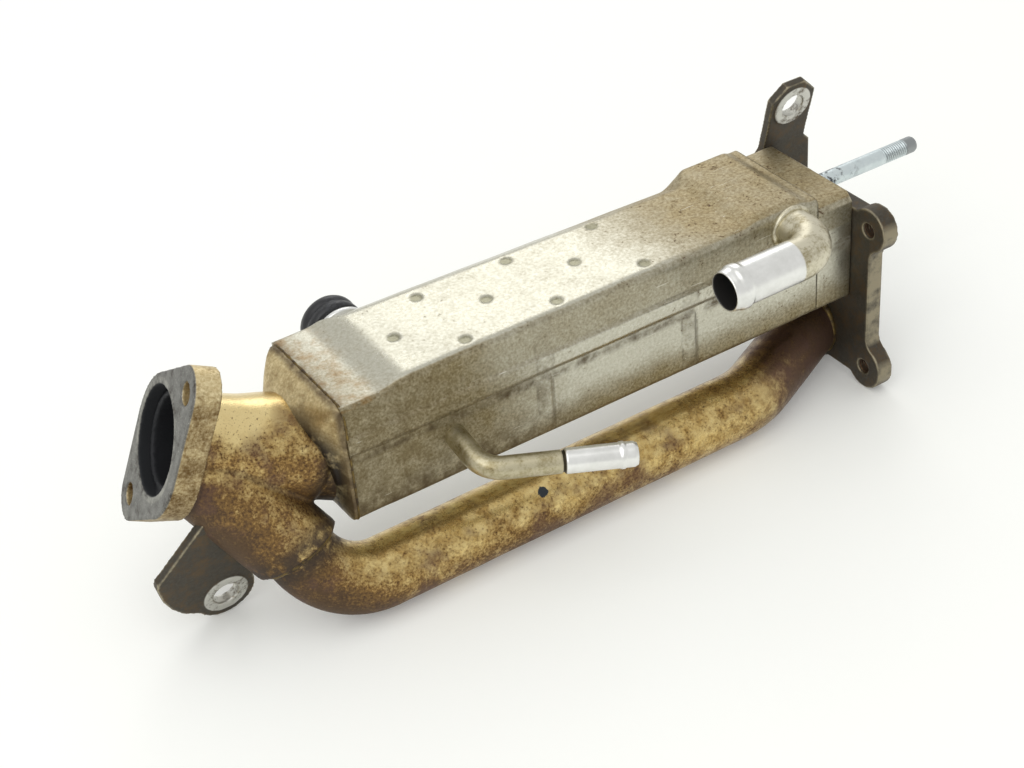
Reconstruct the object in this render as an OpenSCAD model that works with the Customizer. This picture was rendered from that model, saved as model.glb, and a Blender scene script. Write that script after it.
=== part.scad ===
// Exhaust gas recirculation cooler with a bypass tube: a brazed steel housing round
// five flat gas tubes, an inlet manifold that splits the gas, and an outlet flange
// that carries both gas ways. Millimetres. The frame sits on the outlet flange:
// origin at the centre of the cooled gas port on the mating face, X out of that face,
// Y from the pipe side to the back, Z up.

/* [Housing] */
// length of the two housing shells
shell_l = 228; // [190:1:280]
// width of the housing across the tube pack
shell_w = 57.5; // [55:0.5:75]
// height of the housing at its end steps
shell_h = 54.2; // [50:0.1:70]
// sheet thickness of the shells
sheet = 1.5; // [1:0.1:2]
// rise of the pressed top above its end step
top_rise = 3; // [1:0.1:4]
// rise of the coolant tank above the end step
tank_rise = 5.5; // [4:0.1:8]
// drop of the back edge of the top at the coolant tank
back_drop = 4; // [0:0.1:6]
// length of the coolant tank at the outlet end
tank_l = 41; // [36:1:60]
// length of the flat step at the inlet end
step_l = 19.5; // [12:0.5:30]
// drop of the pressed floor below its end step
floor_drop = 1.3; // [0.5:0.1:3]
// depth of the front seam below the end step
seam_front = 16; // [15.5:0.1:20]
// depth of the back seam below the end step
seam_back = 27; // [25:0.5:32]
// height of the lap band below a seam
lap_h = 5.5; // [3:0.1:8]
// height of the lap band above a seam
lap_over = 2; // [1:0.1:2]
// width of a stiffening rib on the side walls
rib_w = 7; // [4:0.5:10]
// height of a stiffening rib above its wall
rib_rise = 1.2; // [0.5:0.1:2]
// place of the first side rib from the inlet end
rib_x1 = 88.5; // [70:0.5:100]
// place of the second side rib from the inlet end
rib_x2 = 160; // [140:0.5:175]
// pitch of the spacer dimples along the top
dimple_pitch = 42.4; // [30:0.1:45]
// first spacer dimple from the inlet end
dimple_x = 58.5; // [50:0.5:65]
// pitch of the dimple rows across the top
dimple_row = 18.7; // [14:0.1:20]
// step of the dimple rows from the middle towards the front
dimple_side = 3.3; // [0:0.1:5]
// diameter of a spacer dimple
dimple_d = 7; // [4:0.5:9]
// depth of a spacer dimple
dimple_depth = 0.8; // [0.3:0.1:1]

/* [Tube pack] */
// width of a flat gas tube
tube_w = 8; // [6:0.1:8.5]
// clearance from the gas tubes to the floor and the top of the housing
tube_clear = 6.1; // [5:0.1:10]
// wall of a flat gas tube
tube_wall = 0.6; // [0.4:0.1:1]
// clearance from the outer gas tubes to the front and back of the housing
pack_clear = 4.95; // [4.9:0.05:7]
// thickness of the tube plates
plate_t = 2; // [1.5:0.1:3]
// pitch of a turbulator fold
fin_pitch = 5; // [4:0.5:8]
// sheet thickness of a turbulator
fin_t = 0.4; // [0.3:0.1:0.6]

/* [End caps] */
// depth of the inlet cap rim
inlet_rim = 1.5; // [1.2:0.1:6]
// overhang of the inlet cap rim over the housing
inlet_lip = 0.4; // [0.2:0.1:2]
// length of the sloping walls of the inlet cap
hood_l = 10; // [6:0.5:14]
// how far the sloping walls of the inlet cap lean in
hood_in = 3.8; // [2:0.1:5]
// wall of the end caps
cap_wall = 2; // [1.5:0.1:3]
// length of the outlet cap
outlet_l = 19; // [12:0.5:26]
// drop of the outlet cap top below the end step
outlet_drop = 1; // [0:0.1:3]
// bevel along the outlet cap edges
cap_bevel = 3.5; // [1:0.5:5]

/* [Inlet manifold and flange] */
// length of the inlet branch from the flange face to the inlet cap
neck_l = 54; // [46:0.1:64]
// outside radius of the inlet neck
neck_r = 19.4; // [17.6:0.1:20]
// gas bore radius of the inlet neck
neck_bore = 16.8; // [12:0.1:17]
// upward lean of the inlet flange axis
inlet_up = 23.6; // [15:0.1:30]
// backward lean of the inlet flange axis
inlet_back = 11.3; // [5:0.1:18]
// turn of the inlet bolt line about the flange axis
inlet_turn = 25; // [10:0.5:40]
// thickness of the inlet flange
flange_t = 10.5; // [9:0.5:14]
// radius of the inlet flange body
flange_r = 27.7; // [26:0.1:32]
// gas bore radius of the inlet flange
flange_bore = 21; // [18:0.1:22]
// depth of the full inlet bore before it tapers
flange_bore_l = 7; // [5:0.5:8]
// distance between the two inlet bolts
inlet_bolts = 71; // [70:0.1:80]
// radius of the inlet bolt ears
ear_r = 10.6; // [9:0.1:12]
// side step of the flange outline and its bolts from the gas bore
flange_side = 2.4; // [0:0.1:3]
// radius of an inlet bolt hole
inlet_hole_r = 4.5; // [4:0.1:5]
// outside radius of the bypass branch at its socket
socket_r = 18.3; // [17.5:0.1:20]
// outside radius of the bypass branch at its root
branch_r = 17.4; // [15.5:0.1:17.5]
// length of the bypass branch
branch_l = 55; // [50:0.5:64]
// swing of the branch from straight down towards the pipe side
branch_swing = 28.5; // [15:0.5:40]

/* [Bypass tube] */
// outside radius of the bypass tube
bypass_r = 14.5; // [12:0.1:16]
// wall of the bypass tube
bypass_wall = 1.5; // [1:0.1:2]
// gap from the housing floor down to the tube
bypass_gap = 12.3; // [8:0.1:20]
// place of the tube axis from the front face of the housing
bypass_out = 2; // [-4:0.5:6]
// start of the straight run from the inlet end of the housing
run_start = 7; // [0:0.5:14]
// bend radius at the socket
bend_r1 = 32; // [30:0.5:40]
// angle of the bend at the socket
bend_a1 = 73; // [65:0.5:80]
// bend radius towards the outlet flange
bend_r2 = 45; // [38:1:70]
// angle of the bend towards the outlet flange
bend_a2 = 25; // [18:0.5:32]
// length along the housing that the last bend and leg take
leg_reach = 68; // [58:0.5:80]
// upward turn of the last leg about the tube axis
leg_turn = 6.5; // [0:0.5:15]

/* [Outlet flange] */
// thickness of the outlet flange
out_t = 8; // [6:0.5:12]
// radius of the cooled gas port
out_bore = 20; // [14:0.5:21]
// height of the cooled gas port below the end step
out_port_z = 27.1; // [26:0.1:32]
// radius of the lobe round the bypass port
lobe_r = 18; // [17.5:0.5:21]
// radius of the front bolt ears
out_ear_r = 10; // [8:0.1:12]
// place of the front bolts ahead of the housing
out_ear_y = 9.9; // [8:0.1:14]
// depth of the upper bolt below the end step
out_ear_z = 15; // [12:0.5:20]
// core radius of the tapped bolt holes
tap_r = 3.4; // [2.5:0.1:4]
// depth of the flange top below the end step
out_top = 8.2; // [7.5:0.1:10]
// radius of the hollows between the ears and the front edge
hollow_r = 6; // [3:0.5:8]
// radius of the stud
stud_r = 4; // [3:0.5:5]
// depth of the stud thread
stud_thread = 0.6; // [0.4:0.1:0.8]
// chamfer at the tip of the stud
stud_tip = 1; // [0.5:0.1:1.5]
// length of the stud beyond the mating face
stud_l = 90; // [60:1:110]
// place of the stud behind the housing
stud_back = 11.5; // [11:0.5:16]
// depth of the stud below the end step
stud_z = 42; // [42:0.5:52]
// radius of the stud ear
stud_ear_r = 10; // [8:0.5:12]

/* [Brackets] */
// sheet thickness of the brackets
bracket_t = 4; // [3:0.5:6]
// forward lean of the bracket faces
bracket_lean = 15; // [5:0.5:20]
// hole radius of the brackets
bracket_hole = 5.5; // [4:0.1:6.5]
// radius of the pressed seat round a bracket hole
seat_r = 9.6; // [8:0.1:10.6]
// height of the pressed seat above the bracket face
seat_rise = 0.6; // [0.3:0.1:1]
// head radius of the upper bracket
head_r = 11.8; // [11.2:0.1:14]
// width of the upper bracket stem
stem_w = 23; // [20:0.5:24]
// width of the upper bracket foot
foot_w = 29; // [28:0.5:34]
// height of the upper bracket foot
foot_h = 28; // [20:0.5:34]
// depth of the bracket bend below the end step
bend_z = 4.1; // [3:0.1:6]
// distance from the bracket bend up to the hole
bracket_rise = 21.2; // [18:0.1:30]
// place of the upper bracket hole beyond the mating face
bracket_x = 1.5; // [-4:0.5:4]
// head radius of the lower bracket
low_head_r = 13; // [12:0.1:15]
// lower bracket hole from the socket along the housing
low_x = -25.6; // [-34:0.1:-22]
// lower bracket hole behind the socket
low_y = 19.2; // [14:0.1:24]

/* [Coolant pipes] */
// outside radius of the coolant elbow
elbow_r = 9; // [7:0.1:9.1]
// wall of the coolant pipes
pipe_wall = 1.2; // [0.8:0.1:1.8]
// place of the elbow root before the end of the shells
elbow_x = 14.5; // [12:0.5:20]
// depth of the elbow below the end step
elbow_z = 4.8; // [4.7:0.1:6]
// bend radius of the elbow
elbow_bend = 14; // [12:0.5:20]
// reach of the elbow run ahead of the housing
elbow_reach = 20.7; // [20:0.1:30]
// length of the elbow run from the root to its mouth
elbow_run = 51; // [40:0.5:70]
// rise of a hose bead above its pipe
bead_rise = 0.7; // [0.3:0.1:1.2]
// distance from the mouth of the elbow to the start of its bead
bead_back = 9; // [7:0.1:12]
// outside radius of the vent pipe
vent_r = 4.7; // [3.5:0.1:6]
// outside radius of the vent pipe end
vent_end_r = 5.1; // [4:0.1:6.5]
// length of the vent pipe end
vent_end_l = 29; // [15:0.5:30]
// distance from the mouth of the vent pipe to the start of its bead
vent_bead = 7.5; // [6:0.1:10]
// start of the straight vent pipe from the inlet end
vent_x = 53.3; // [50:0.1:75]
// start of the straight vent pipe ahead of the housing
vent_out = 23.4; // [18:0.1:30]
// start of the straight vent pipe below the end step
vent_z = 38.4; // [37:0.1:44]
// downward lean of the vent pipe
vent_dip = 12; // [0:1:20]
// swing of the vent pipe run out of the housing line
vent_swing = 23; // [15:0.5:32]
// bend radius of the vent pipe
vent_bend = 12; // [10:0.5:16]
// length of the straight vent pipe
vent_run = 52.2; // [35:0.1:60]
// outside radius of the rear stub
stub_r = 9.5; // [8:0.1:10]
// place of the rear stub from the inlet end
stub_x = 31.2; // [28:0.1:45]
// depth of the rear stub below the end step
stub_z = 12; // [11.5:0.1:14]
// length of the rear stub behind the housing
stub_l = 15; // [12:0.5:24]
// radius of the stub collar
collar_r = 11.5; // [10.5:0.1:13]
// thickness of the stub collar
collar_t = 2.5; // [1.5:0.1:4]
// outside radius of the rubber seal
seal_r = 12.6; // [11.5:0.1:14]
// length of the rubber seal
seal_l = 10; // [6:0.5:14]

/* [Hidden] */
$fn = 96;

over = 1;
fuller = 0.03;
bite = 0.5;
tubes = 5;
mid_y = shell_w / 2;
face_x = shell_l + outlet_l + out_t;
flange_x = shell_l + outlet_l;

// pressed shapes of the shells
rise_run = 4.5;
tank_run = 12;
tank_fall = 6;
tank_flat = 3;
bevel_slope = 1.5;
bevel_z = 0.5;
back_slope = 29.7;
floor_x = 13.5;
floor_run = 5;
floor_end = 5;
corner = 2.5;

// tube pack
pack_w = shell_w - 2 * pack_clear;
tube_gap = (pack_w - tubes * tube_w) / (tubes - 1);
tube_h = shell_h - 2 * tube_clear;
tube_z = -shell_h / 2 - 0.4;
tube_corner = tube_w / 4;

// inlet axis, out of the flange, and the two ends of the neck
axis_in = [-cos(inlet_up) * cos(inlet_back), cos(inlet_up) * sin(inlet_back), sin(inlet_up)];
neck_x = -inlet_rim - hood_l;
neck_end = [neck_x, mid_y - 0.5, -shell_h / 2 - 2.2];
flange_at = neck_end + neck_l * axis_in;

// bypass tube path
run_y = -bypass_out;
run_z = -shell_h - bypass_gap - bypass_r;
run_l = flange_x - leg_reach - run_start;
branch_dir = [cos(bend_a1), -sin(bend_a1) * sin(branch_swing), -sin(bend_a1) * cos(branch_swing)];
bend_off = bend_r1 * (1 - cos(bend_a1));
socket_at = [run_start - bend_r1 * sin(bend_a1), run_y + bend_off * sin(branch_swing),
  run_z + bend_off * cos(branch_swing)];
leg_at = [bend_r2 * sin(bend_a2), bend_r2 * (1 - cos(bend_a2)), 0];
port_off = leg_at[1] + (leg_reach - leg_at[0]) * tan(bend_a2);
port_y = run_y + port_off * cos(leg_turn);
port_z = run_z + port_off * sin(leg_turn);

// outlet flange
low_ear_r = out_ear_r + 0.5;
floor_z = port_z - lobe_r;
low_ear_z = floor_z + low_ear_r;
edge_y = -out_ear_y - 1.4;
stud_y = shell_w + stud_back;

// brackets
bracket_at = [face_x + bracket_x, shell_w - bracket_rise * sin(bracket_lean),
  -bend_z + bracket_rise * cos(bracket_lean)];
low_at = [socket_at[0] + low_x, socket_at[1] + low_y, floor_z + low_head_r * cos(bracket_lean)];

// coolant pipes
elbow_at = [shell_l - elbow_x, 0, -elbow_z];
elbow_in = 4.2;
vent_at = [vent_x, -vent_out, -vent_z];
vent_in = 2.2;
vent_turn = 90 - vent_swing;
vent_leg = vent_out / cos(vent_dip) - vent_bend * cos(vent_swing) + vent_in;
stub_at = [stub_x, shell_w, -stub_z];
seal_y = shell_w + 5.5;

// move from the housing corner to the frame of the part
module home() translate([-face_x, -mid_y, out_port_z]) children();

// turn the Z axis onto a direction
module aim(p, d) {
  translate(p) rotate([0, acos(d[2] / norm(d)), atan2(d[1], d[0])]) children();
}

// outline drawn in Y and Z, pulled along X
module along_x(x, l) translate([x, 0, 0]) rotate([90, 0, 90]) linear_extrude(l) children();

// outline drawn in X and Z, pulled along Y
module along_y(y, l) translate([0, y + l, 0]) rotate([90, 0, 0]) linear_extrude(l) children();

// bent rod in the XY plane, from the origin along X, turning to the left; a bend is a little
// fuller than the straight that runs a short way into it
module bend(radius, turn, r) {
  translate([0, radius, 0]) rotate([0, 0, -90]) rotate_extrude(angle = turn)
    translate([radius, 0]) circle(r + fuller);
}

// straight rod along X
module rod(x, l, r) translate([x, 0, 0]) rotate([0, 90, 0]) cylinder(h = l, r = r);

// inside and outside of the upper pressing, set in by d
module upper_form(d) {
  x0 = d > 0 ? -over : 0;
  x1 = d > 0 ? shell_l + over : shell_l;
  intersection() {
    along_y(-over, shell_w + 2 * over) polygon([
      [x0, -d], [step_l, -d], [step_l + rise_run, top_rise - d],
      [shell_l - tank_l, top_rise - d], [shell_l - tank_l + tank_run, tank_rise - d],
      [shell_l - tank_flat - tank_fall, tank_rise - d], [shell_l - tank_flat, top_rise - d],
      [x1, top_rise - d], [x1, -shell_h], [x0, -shell_h]]);
    along_x(x0, x1 - x0) polygon(upper_section(d));
    back_bevel(d);
  }
}

// room under the sloping back edge of the top, which falls away towards the coolant tank
module back_bevel(d) {
  l = shell_l - tank_l - step_l;
  fall = atan2(back_drop, l);
  difference() {
    translate([-2 * over, -2 * over, -shell_h - over])
      cube([shell_l + 4 * over, shell_w + 4 * over, shell_h + 4 * tank_rise]);
    translate([step_l, shell_w, 0]) rotate([0, fall, 0]) rotate([-back_slope, 0, 0]) translate([0, 0, -d])
      linear_extrude(shell_h) polygon([
        [-shell_l, -shell_w], [-shell_l, shell_w], [l + d, shell_w], [l + d, 0],
        [l + d + tank_run, -shell_w]]);
  }
}

// cross section of the upper pressing with its bevelled top edges
function upper_section(d) = let (
    z0 = bevel_z - d * (sqrt(1 + bevel_slope * bevel_slope) - bevel_slope),
    zt = tank_rise + 2 * over, run = (zt - z0) / bevel_slope)
  [[d, -shell_h], [d, z0], [d + run, zt], [shell_w - d - run, zt], [shell_w - d, z0],
    [shell_w - d, -shell_h]];

// outline of a tube plate that fits inside both shells, under a top at zt
function plate_section(zt) = let (
    z0 = bevel_z - sheet * (sqrt(1 + bevel_slope * bevel_slope) - bevel_slope),
    run = max(0.01, (zt - z0) / bevel_slope), zl = min(z0, zt - 0.01), f = -shell_h + sheet)
  [[sheet, f + corner], [sheet, zl], [sheet + run, zt], [shell_w - sheet - run, zt], [shell_w - sheet, zl],
    [shell_w - sheet, f + corner], [shell_w - sheet - corner, f], [sheet + corner, f]];

// inside and outside of the lower pressing, set in by d
module lower_form(d) {
  x0 = d > 0 ? -over : 0;
  x1 = d > 0 ? shell_l + over : shell_l;
  f = -shell_h + d;
  c = corner;
  intersection() {
    along_y(-over, shell_w + 2 * over) polygon([
      [x0, f], [floor_x, f], [floor_x + floor_run, f - floor_drop],
      [shell_l - floor_end - floor_run, f - floor_drop], [shell_l - floor_end, f],
      [x1, f], [x1, 0], [x0, 0]]);
    along_x(x0, x1 - x0) polygon([
      [d, 0], [d, f + c], [d + c + floor_drop, f - floor_drop],
      [shell_w - d - c - floor_drop, f - floor_drop], [shell_w - d, f + c], [shell_w - d, 0]]);
  }
}

// pressed rib on a side wall
module rib(x, y, way, top) {
  h = shell_h - top - 2 * corner;
  translate([x, y, -top - h]) linear_extrude(h) polygon([
    [-rib_w / 2, -way * bite], [-rib_w / 2, 0], [-rib_w / 2 + 1.6, way * rib_rise],
    [rib_w / 2 - 1.6, way * rib_rise], [rib_w / 2, 0], [rib_w / 2, -way * bite]]);
}

// upper half of the housing with lap bands over both seams
module upper_shell() {
  color([0.70, 0.66, 0.56]) home() difference() {
    union() {
      difference() {
        upper_form(0);
        upper_form(sheet);
        translate([-over, -over, -shell_h - over])
          cube([shell_l + 2 * over, mid_y + over, shell_h + over - seam_front]);
        translate([-over, mid_y - over, -shell_h - over])
          cube([shell_l + 2 * over, mid_y + 2 * over, shell_h + over - seam_back]);
      }
      translate([0, -sheet, -seam_front - lap_h]) cube([shell_l, sheet, lap_h + lap_over]);
      translate([0, -sheet, -seam_front]) cube([shell_l, sheet + bite, lap_over]);
      translate([0, shell_w, -seam_back - lap_h]) cube([shell_l, sheet, lap_h + lap_over]);
      translate([0, shell_w - bite, -seam_back]) cube([shell_l, sheet + bite, lap_over]);
    }
    for (j = [0, 1, 2]) {
      for (i = [0, 1, 2]) {
        x = dimple_x + (i + (j == 1 ? -0.5 : 0)) * dimple_pitch;
        dimple_ball = dimple_d * dimple_d / dimple_depth / 8 + dimple_depth / 2;
        y = mid_y - dimple_side + (j - 1) * dimple_row;
        translate([x, y, top_rise - dimple_depth + dimple_ball]) sphere(dimple_ball);
      }
    }
    aim([elbow_at[0], -over, elbow_at[2]], [0, 1, 0]) cylinder(h = mid_y, r = elbow_r);
    aim([stub_at[0], mid_y, stub_at[2]], [0, 1, 0]) cylinder(h = shell_w, r = stub_r);
  }
}

// lower half of the housing, a U with ribbed walls
module lower_shell() {
  color([0.66, 0.62, 0.53]) home() difference() {
    union() {
      difference() {
        lower_form(0);
        lower_form(sheet);
        translate([-over, -over, -seam_front]) cube([shell_l + 2 * over, mid_y + over, shell_h]);
        translate([-over, mid_y - over, -seam_back]) cube([shell_l + 2 * over, mid_y + 2 * over, shell_h]);
      }
      for (x = [rib_x1, rib_x2]) {
        rib(x, 0, -1, seam_front + lap_h + 2);
        rib(x, shell_w, 1, seam_back + lap_h + 2);
      }
    }
    vent_place() vent_form(vent_r, over);
  }
}

// inlet cap form: a rim that meets the shells and four walls that slope in to the manifold, set in by d
module cap_hood(d) {
  x1 = d > 0 ? over : 0;
  x2 = neck_x + d;
  a = d - inlet_lip;
  b = a + hood_in * (hood_l - d) / hood_l;
  intersection() {
    along_y(-over, shell_w + 2 * over) polygon([
      [x1, -a], [-inlet_rim, -a], [x2, -b], [x2, b - shell_h], [-inlet_rim, a - shell_h], [x1, a - shell_h]]);
    translate([0, 0, -shell_h - over]) linear_extrude(shell_h + 2 * over) polygon([
      [x1, a], [-inlet_rim, a], [x2, b], [x2, shell_w - b], [-inlet_rim, shell_w - a], [x1, shell_w - a]]);
  }
}

// inlet cap, open to the housing and to the neck
module inlet_end_cap() {
  color([0.45, 0.36, 0.24]) home() difference() {
    cap_hood(0);
    cap_hood(cap_wall);
    aim(neck_end + neck_r * axis_in, -axis_in) cylinder(h = 2 * neck_r, r = neck_bore);
  }
}

// outlet cap: a hollow box between the tube plate and the outlet flange
module outlet_end_cap() {
  color([0.47, 0.41, 0.31]) home() difference() {
    along_x(shell_l, outlet_l) polygon([
      [0, -shell_h + corner], [0, -outlet_drop - cap_bevel], [cap_bevel, -outlet_drop],
      [shell_w - cap_bevel, -outlet_drop], [shell_w, -outlet_drop - cap_bevel], [shell_w, -shell_h + corner],
      [shell_w - corner, -shell_h], [corner, -shell_h]]);
    translate([shell_l - over, cap_wall, -shell_h + cap_wall + corner])
      cube([outlet_l + over - cap_wall, shell_w - 2 * cap_wall,
        shell_h - 2 * cap_wall - corner - outlet_drop - cap_bevel / 2]);
    translate([shell_l, mid_y, -out_port_z]) rotate([0, 90, 0]) cylinder(h = outlet_l + over, r = out_bore);
  }
}

// centre of a flat tube across the housing
function tube_y(i) = mid_y - pack_w / 2 + tube_w / 2 + i * (tube_w + tube_gap);

// flat tube outline, set in by d
module tube_outline(i, d) {
  y = tube_y(i);
  a = tube_w / 2 - d;
  b = tube_h / 2 - d;
  c = tube_corner - d * 0.6;
  polygon([[y - a, tube_z - b + c], [y - a + c, tube_z - b], [y + a - c, tube_z - b], [y + a, tube_z - b + c],
    [y + a, tube_z + b - c], [y + a - c, tube_z + b], [y - a + c, tube_z + b], [y - a, tube_z + b - c]]);
}

module inlet_tube_plate() {
  color([0.60, 0.60, 0.58]) home() along_x(0, plate_t) difference() {
    polygon(plate_section(-sheet));
    for (i = [0:tubes - 1]) tube_outline(i, 0);
  }
}

module outlet_tube_plate() {
  color([0.60, 0.60, 0.58]) home() along_x(shell_l - plate_t, plate_t) difference() {
    polygon(plate_section(top_rise - sheet));
    for (i = [0:tubes - 1]) tube_outline(i, 0);
  }
}

// flat gas tube through both tube plates
module gas_tube(i) {
  color([0.62, 0.62, 0.60]) home() along_x(0, shell_l) difference() {
    tube_outline(i, 0);
    tube_outline(i, tube_wall);
  }
}

// folded sheet that fills a gas tube from wall to wall
module turbulator(i) {
  a = tube_w / 2 - tube_wall;
  n = floor((tube_h - 2 * tube_wall - 2 * tube_corner) / fin_pitch);
  color([0.55, 0.55, 0.55]) home() along_x(plate_t, shell_l - 2 * plate_t)
    translate([tube_y(i), tube_z - n * fin_pitch / 2]) polygon(fold_points(a, n, fin_pitch / 2, fin_t));
}

// outline of n folds of pitch 2 h and sheet t between -a and a: up one side, down the other
function fold_points(a, n, h, t) = concat(
  [[-a, 0]],
  [for (k = [0:n - 1]) each [
    [-a, (2 * k + 1) * h + t], [a - t, (2 * k + 1) * h + t], [a - t, (2 * k + 2) * h],
    if (k < n - 1) [-a, (2 * k + 2) * h]]],
  [[a, 2 * n * h]],
  [for (k = [n - 1:-1:0]) each [
    if (k < n - 1) [-a + t, (2 * k + 2) * h + t], if (k < n - 1) [a, (2 * k + 2) * h + t],
    [a, (2 * k + 1) * h], [-a + t, (2 * k + 1) * h]]],
  [[-a + t, 0]]);

// outside of the branch to the bypass tube
module branch_form() {
  aim(socket_at - branch_l * branch_dir, branch_dir) cylinder(h = branch_l, r1 = branch_r, r2 = socket_r);
}

// manifold: neck from the flange to the inlet cap and a branch to the bypass tube
module inlet_manifold() {
  back = flange_at - flange_t * axis_in;
  l = neck_l - flange_t;
  color([0.56, 0.43, 0.22]) home() difference() {
    union() {
      aim(back, -axis_in) cylinder(h = 6, r1 = neck_r + 3, r2 = neck_r + 0.1);
      difference() {
        aim(back, -axis_in) cylinder(h = l + 2 * neck_r, r = neck_r);
        translate([neck_x, -shell_w, -2 * shell_h]) cube([shell_l, 3 * shell_w, 3 * shell_h]);
      }
      difference() {
        branch_form();
        aim(flange_at, -axis_in) translate([0, 0, -branch_l])
          cylinder(h = branch_l + flange_t, r = 2 * branch_l);
        cap_hood(0);
        translate([-inlet_rim, -shell_w, -2 * shell_h]) cube([shell_l, 3 * shell_w, 3 * shell_h]);
      }
    }
    aim(back, -axis_in) translate([0, 0, -over]) cylinder(h = l + over + neck_r, r = neck_bore);
    aim(socket_at, -branch_dir) translate([0, 0, -over]) cylinder(h = branch_l, r = bypass_r - bypass_wall);
  }
}

// two bolt flange at the gas inlet
module inlet_flange() {
  b = (flange_r - ear_r) / (inlet_bolts / 2);
  s = flange_r - 0.05;
  e = ear_r - 0.05;
  c = sqrt(1 - b * b);
  color([0.52, 0.50, 0.46]) home() aim(flange_at, -axis_in) rotate([0, 0, inlet_turn]) difference() {
    translate([0, -flange_side, 0]) union() {
      cylinder(h = flange_t, r = flange_r);
      for (k = [-1, 1]) translate([k * inlet_bolts / 2, 0, 0]) cylinder(h = flange_t, r = ear_r);
      linear_extrude(flange_t) polygon([
        [s * b, s * c], [inlet_bolts / 2 + e * b, e * c], [inlet_bolts / 2 + e * b, -e * c], [s * b, -s * c],
        [-s * b, -s * c], [-inlet_bolts / 2 - e * b, -e * c], [-inlet_bolts / 2 - e * b, e * c],
        [-s * b, s * c]]);
    }
    translate([0, 0, -over]) cylinder(h = flange_bore_l + over, r = flange_bore);
    translate([0, 0, flange_bore_l]) cylinder(h = flange_t - flange_bore_l, r1 = flange_bore, r2 = neck_bore);
    translate([0, 0, flange_t - 0.01]) cylinder(h = over, r = neck_bore);
    for (k = [-1, 1]) translate([k * inlet_bolts / 2, -flange_side, -over])
      cylinder(h = flange_t + 2 * over, r = inlet_hole_r);
  }
}

// course of the bypass tube as a rod: a bend out of the socket, a straight run, a bend and a leg
module bypass_form(r, more) {
  translate([run_start, run_y, run_z]) {
    rotate([90 - branch_swing, 0, 0]) mirror([1, 0, 0]) bend(bend_r1, bend_a1 + more, r);
    rod(-bite, run_l + 2 * bite, r);
    translate([run_l, 0, 0]) rotate([leg_turn, 0, 0]) {
      bend(bend_r2, bend_a2, r);
      translate(leg_at) rotate([0, 0, bend_a2]) rod(-bite, leg_reach, r);
    }
  }
}

// bypass tube from the manifold socket to the outlet flange
module bypass_tube() {
  color([0.58, 0.46, 0.26]) home() difference() {
    bypass_form(bypass_r, 0);
    bypass_form(bypass_r - bypass_wall, 3);
    translate([flange_x, port_y - shell_h, port_z - shell_h]) cube(2 * shell_h);
  }
}

// points of a quarter hollow between an ear and the straight front edge
function hollow(cy, cz, way, r) = let (
    fy = edge_y - hollow_r, dy = cy - fy, dz = sqrt((r + hollow_r) * (r + hollow_r) - dy * dy),
    fz = cz + way * dz, a1 = atan2(-way * dz, dy), n = 6)
  [for (k = [0:n]) let (a = a1 * (n - k) / n, r = k == 0 || k == n ? hollow_r + 0.3 : hollow_r)
    [fy + r * cos(a), fz + r * sin(a)]];

// plate that carries the cooled gas port, the bypass port, two tapped ears and the stud
module outlet_flange() {
  y1 = -out_ear_y;
  z1 = -out_ear_z;
  z2 = low_ear_z;
  front = concat(hollow(y1, z1, -1, out_ear_r), [[y1, z1]]);
  low = concat(hollow(y1, z2, 1, low_ear_r), [[y1, z2]]);
  color([0.24, 0.22, 0.20]) home() difference() {
    union() {
      along_x(flange_x, out_t) polygon([
        [edge_y, z1 - 4], [edge_y, z2 + 4], [y1, floor_z + 4], [port_y, floor_z + 4],
        [port_y + lobe_r * 0.8, port_z], [stud_y + 3, -stud_z - stud_ear_r + 1],
        [stud_y + 1, -stud_z + stud_ear_r - 1], [shell_w, -bend_z - foot_h - 1],
        [shell_w, -out_top], [0, -out_top], [y1 + 3, z1 + out_ear_r - 3]]);
      along_x(flange_x, out_t) polygon(front);
      along_x(flange_x, out_t) polygon(low);
      translate([flange_x, y1, z1]) rotate([0, 90, 0]) cylinder(h = out_t, r = out_ear_r);
      translate([flange_x, y1, z2]) rotate([0, 90, 0]) cylinder(h = out_t, r = low_ear_r);
      translate([flange_x, port_y, port_z]) rotate([0, 90, 0]) cylinder(h = out_t, r = lobe_r);
      translate([flange_x, stud_y, -stud_z]) rotate([0, 90, 0]) cylinder(h = out_t, r = stud_ear_r);
    }
    translate([flange_x - over, mid_y, -out_port_z]) rotate([0, 90, 0])
      cylinder(h = out_t + 2 * over, r = out_bore);
    translate([flange_x - over, port_y, port_z]) rotate([0, 90, 0])
      cylinder(h = out_t + 2 * over, r = bypass_r - bypass_wall);
    for (z = [z1, z2]) translate([flange_x - over, y1, z]) rotate([0, 90, 0])
      cylinder(h = out_t + 2 * over, r = tap_r);
    translate([flange_x - over, stud_y, -stud_z]) rotate([0, 90, 0])
      cylinder(h = out_t + 2 * over, r = stud_r - stud_thread);
  }
}

// stud screwed through the back ear of the outlet flange
module flange_stud() {
  root = stud_r - stud_thread;
  color([0.72, 0.74, 0.76]) home() translate([flange_x, stud_y, -stud_z]) rotate([0, 90, 0])
    rotate_extrude() polygon([
      [0, 0], [root, 0], [root, out_t], [stud_r, out_t], [stud_r, out_t + stud_l - stud_tip],
      [stud_r - stud_tip, out_t + stud_l], [0, out_t + stud_l]]);
}

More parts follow.
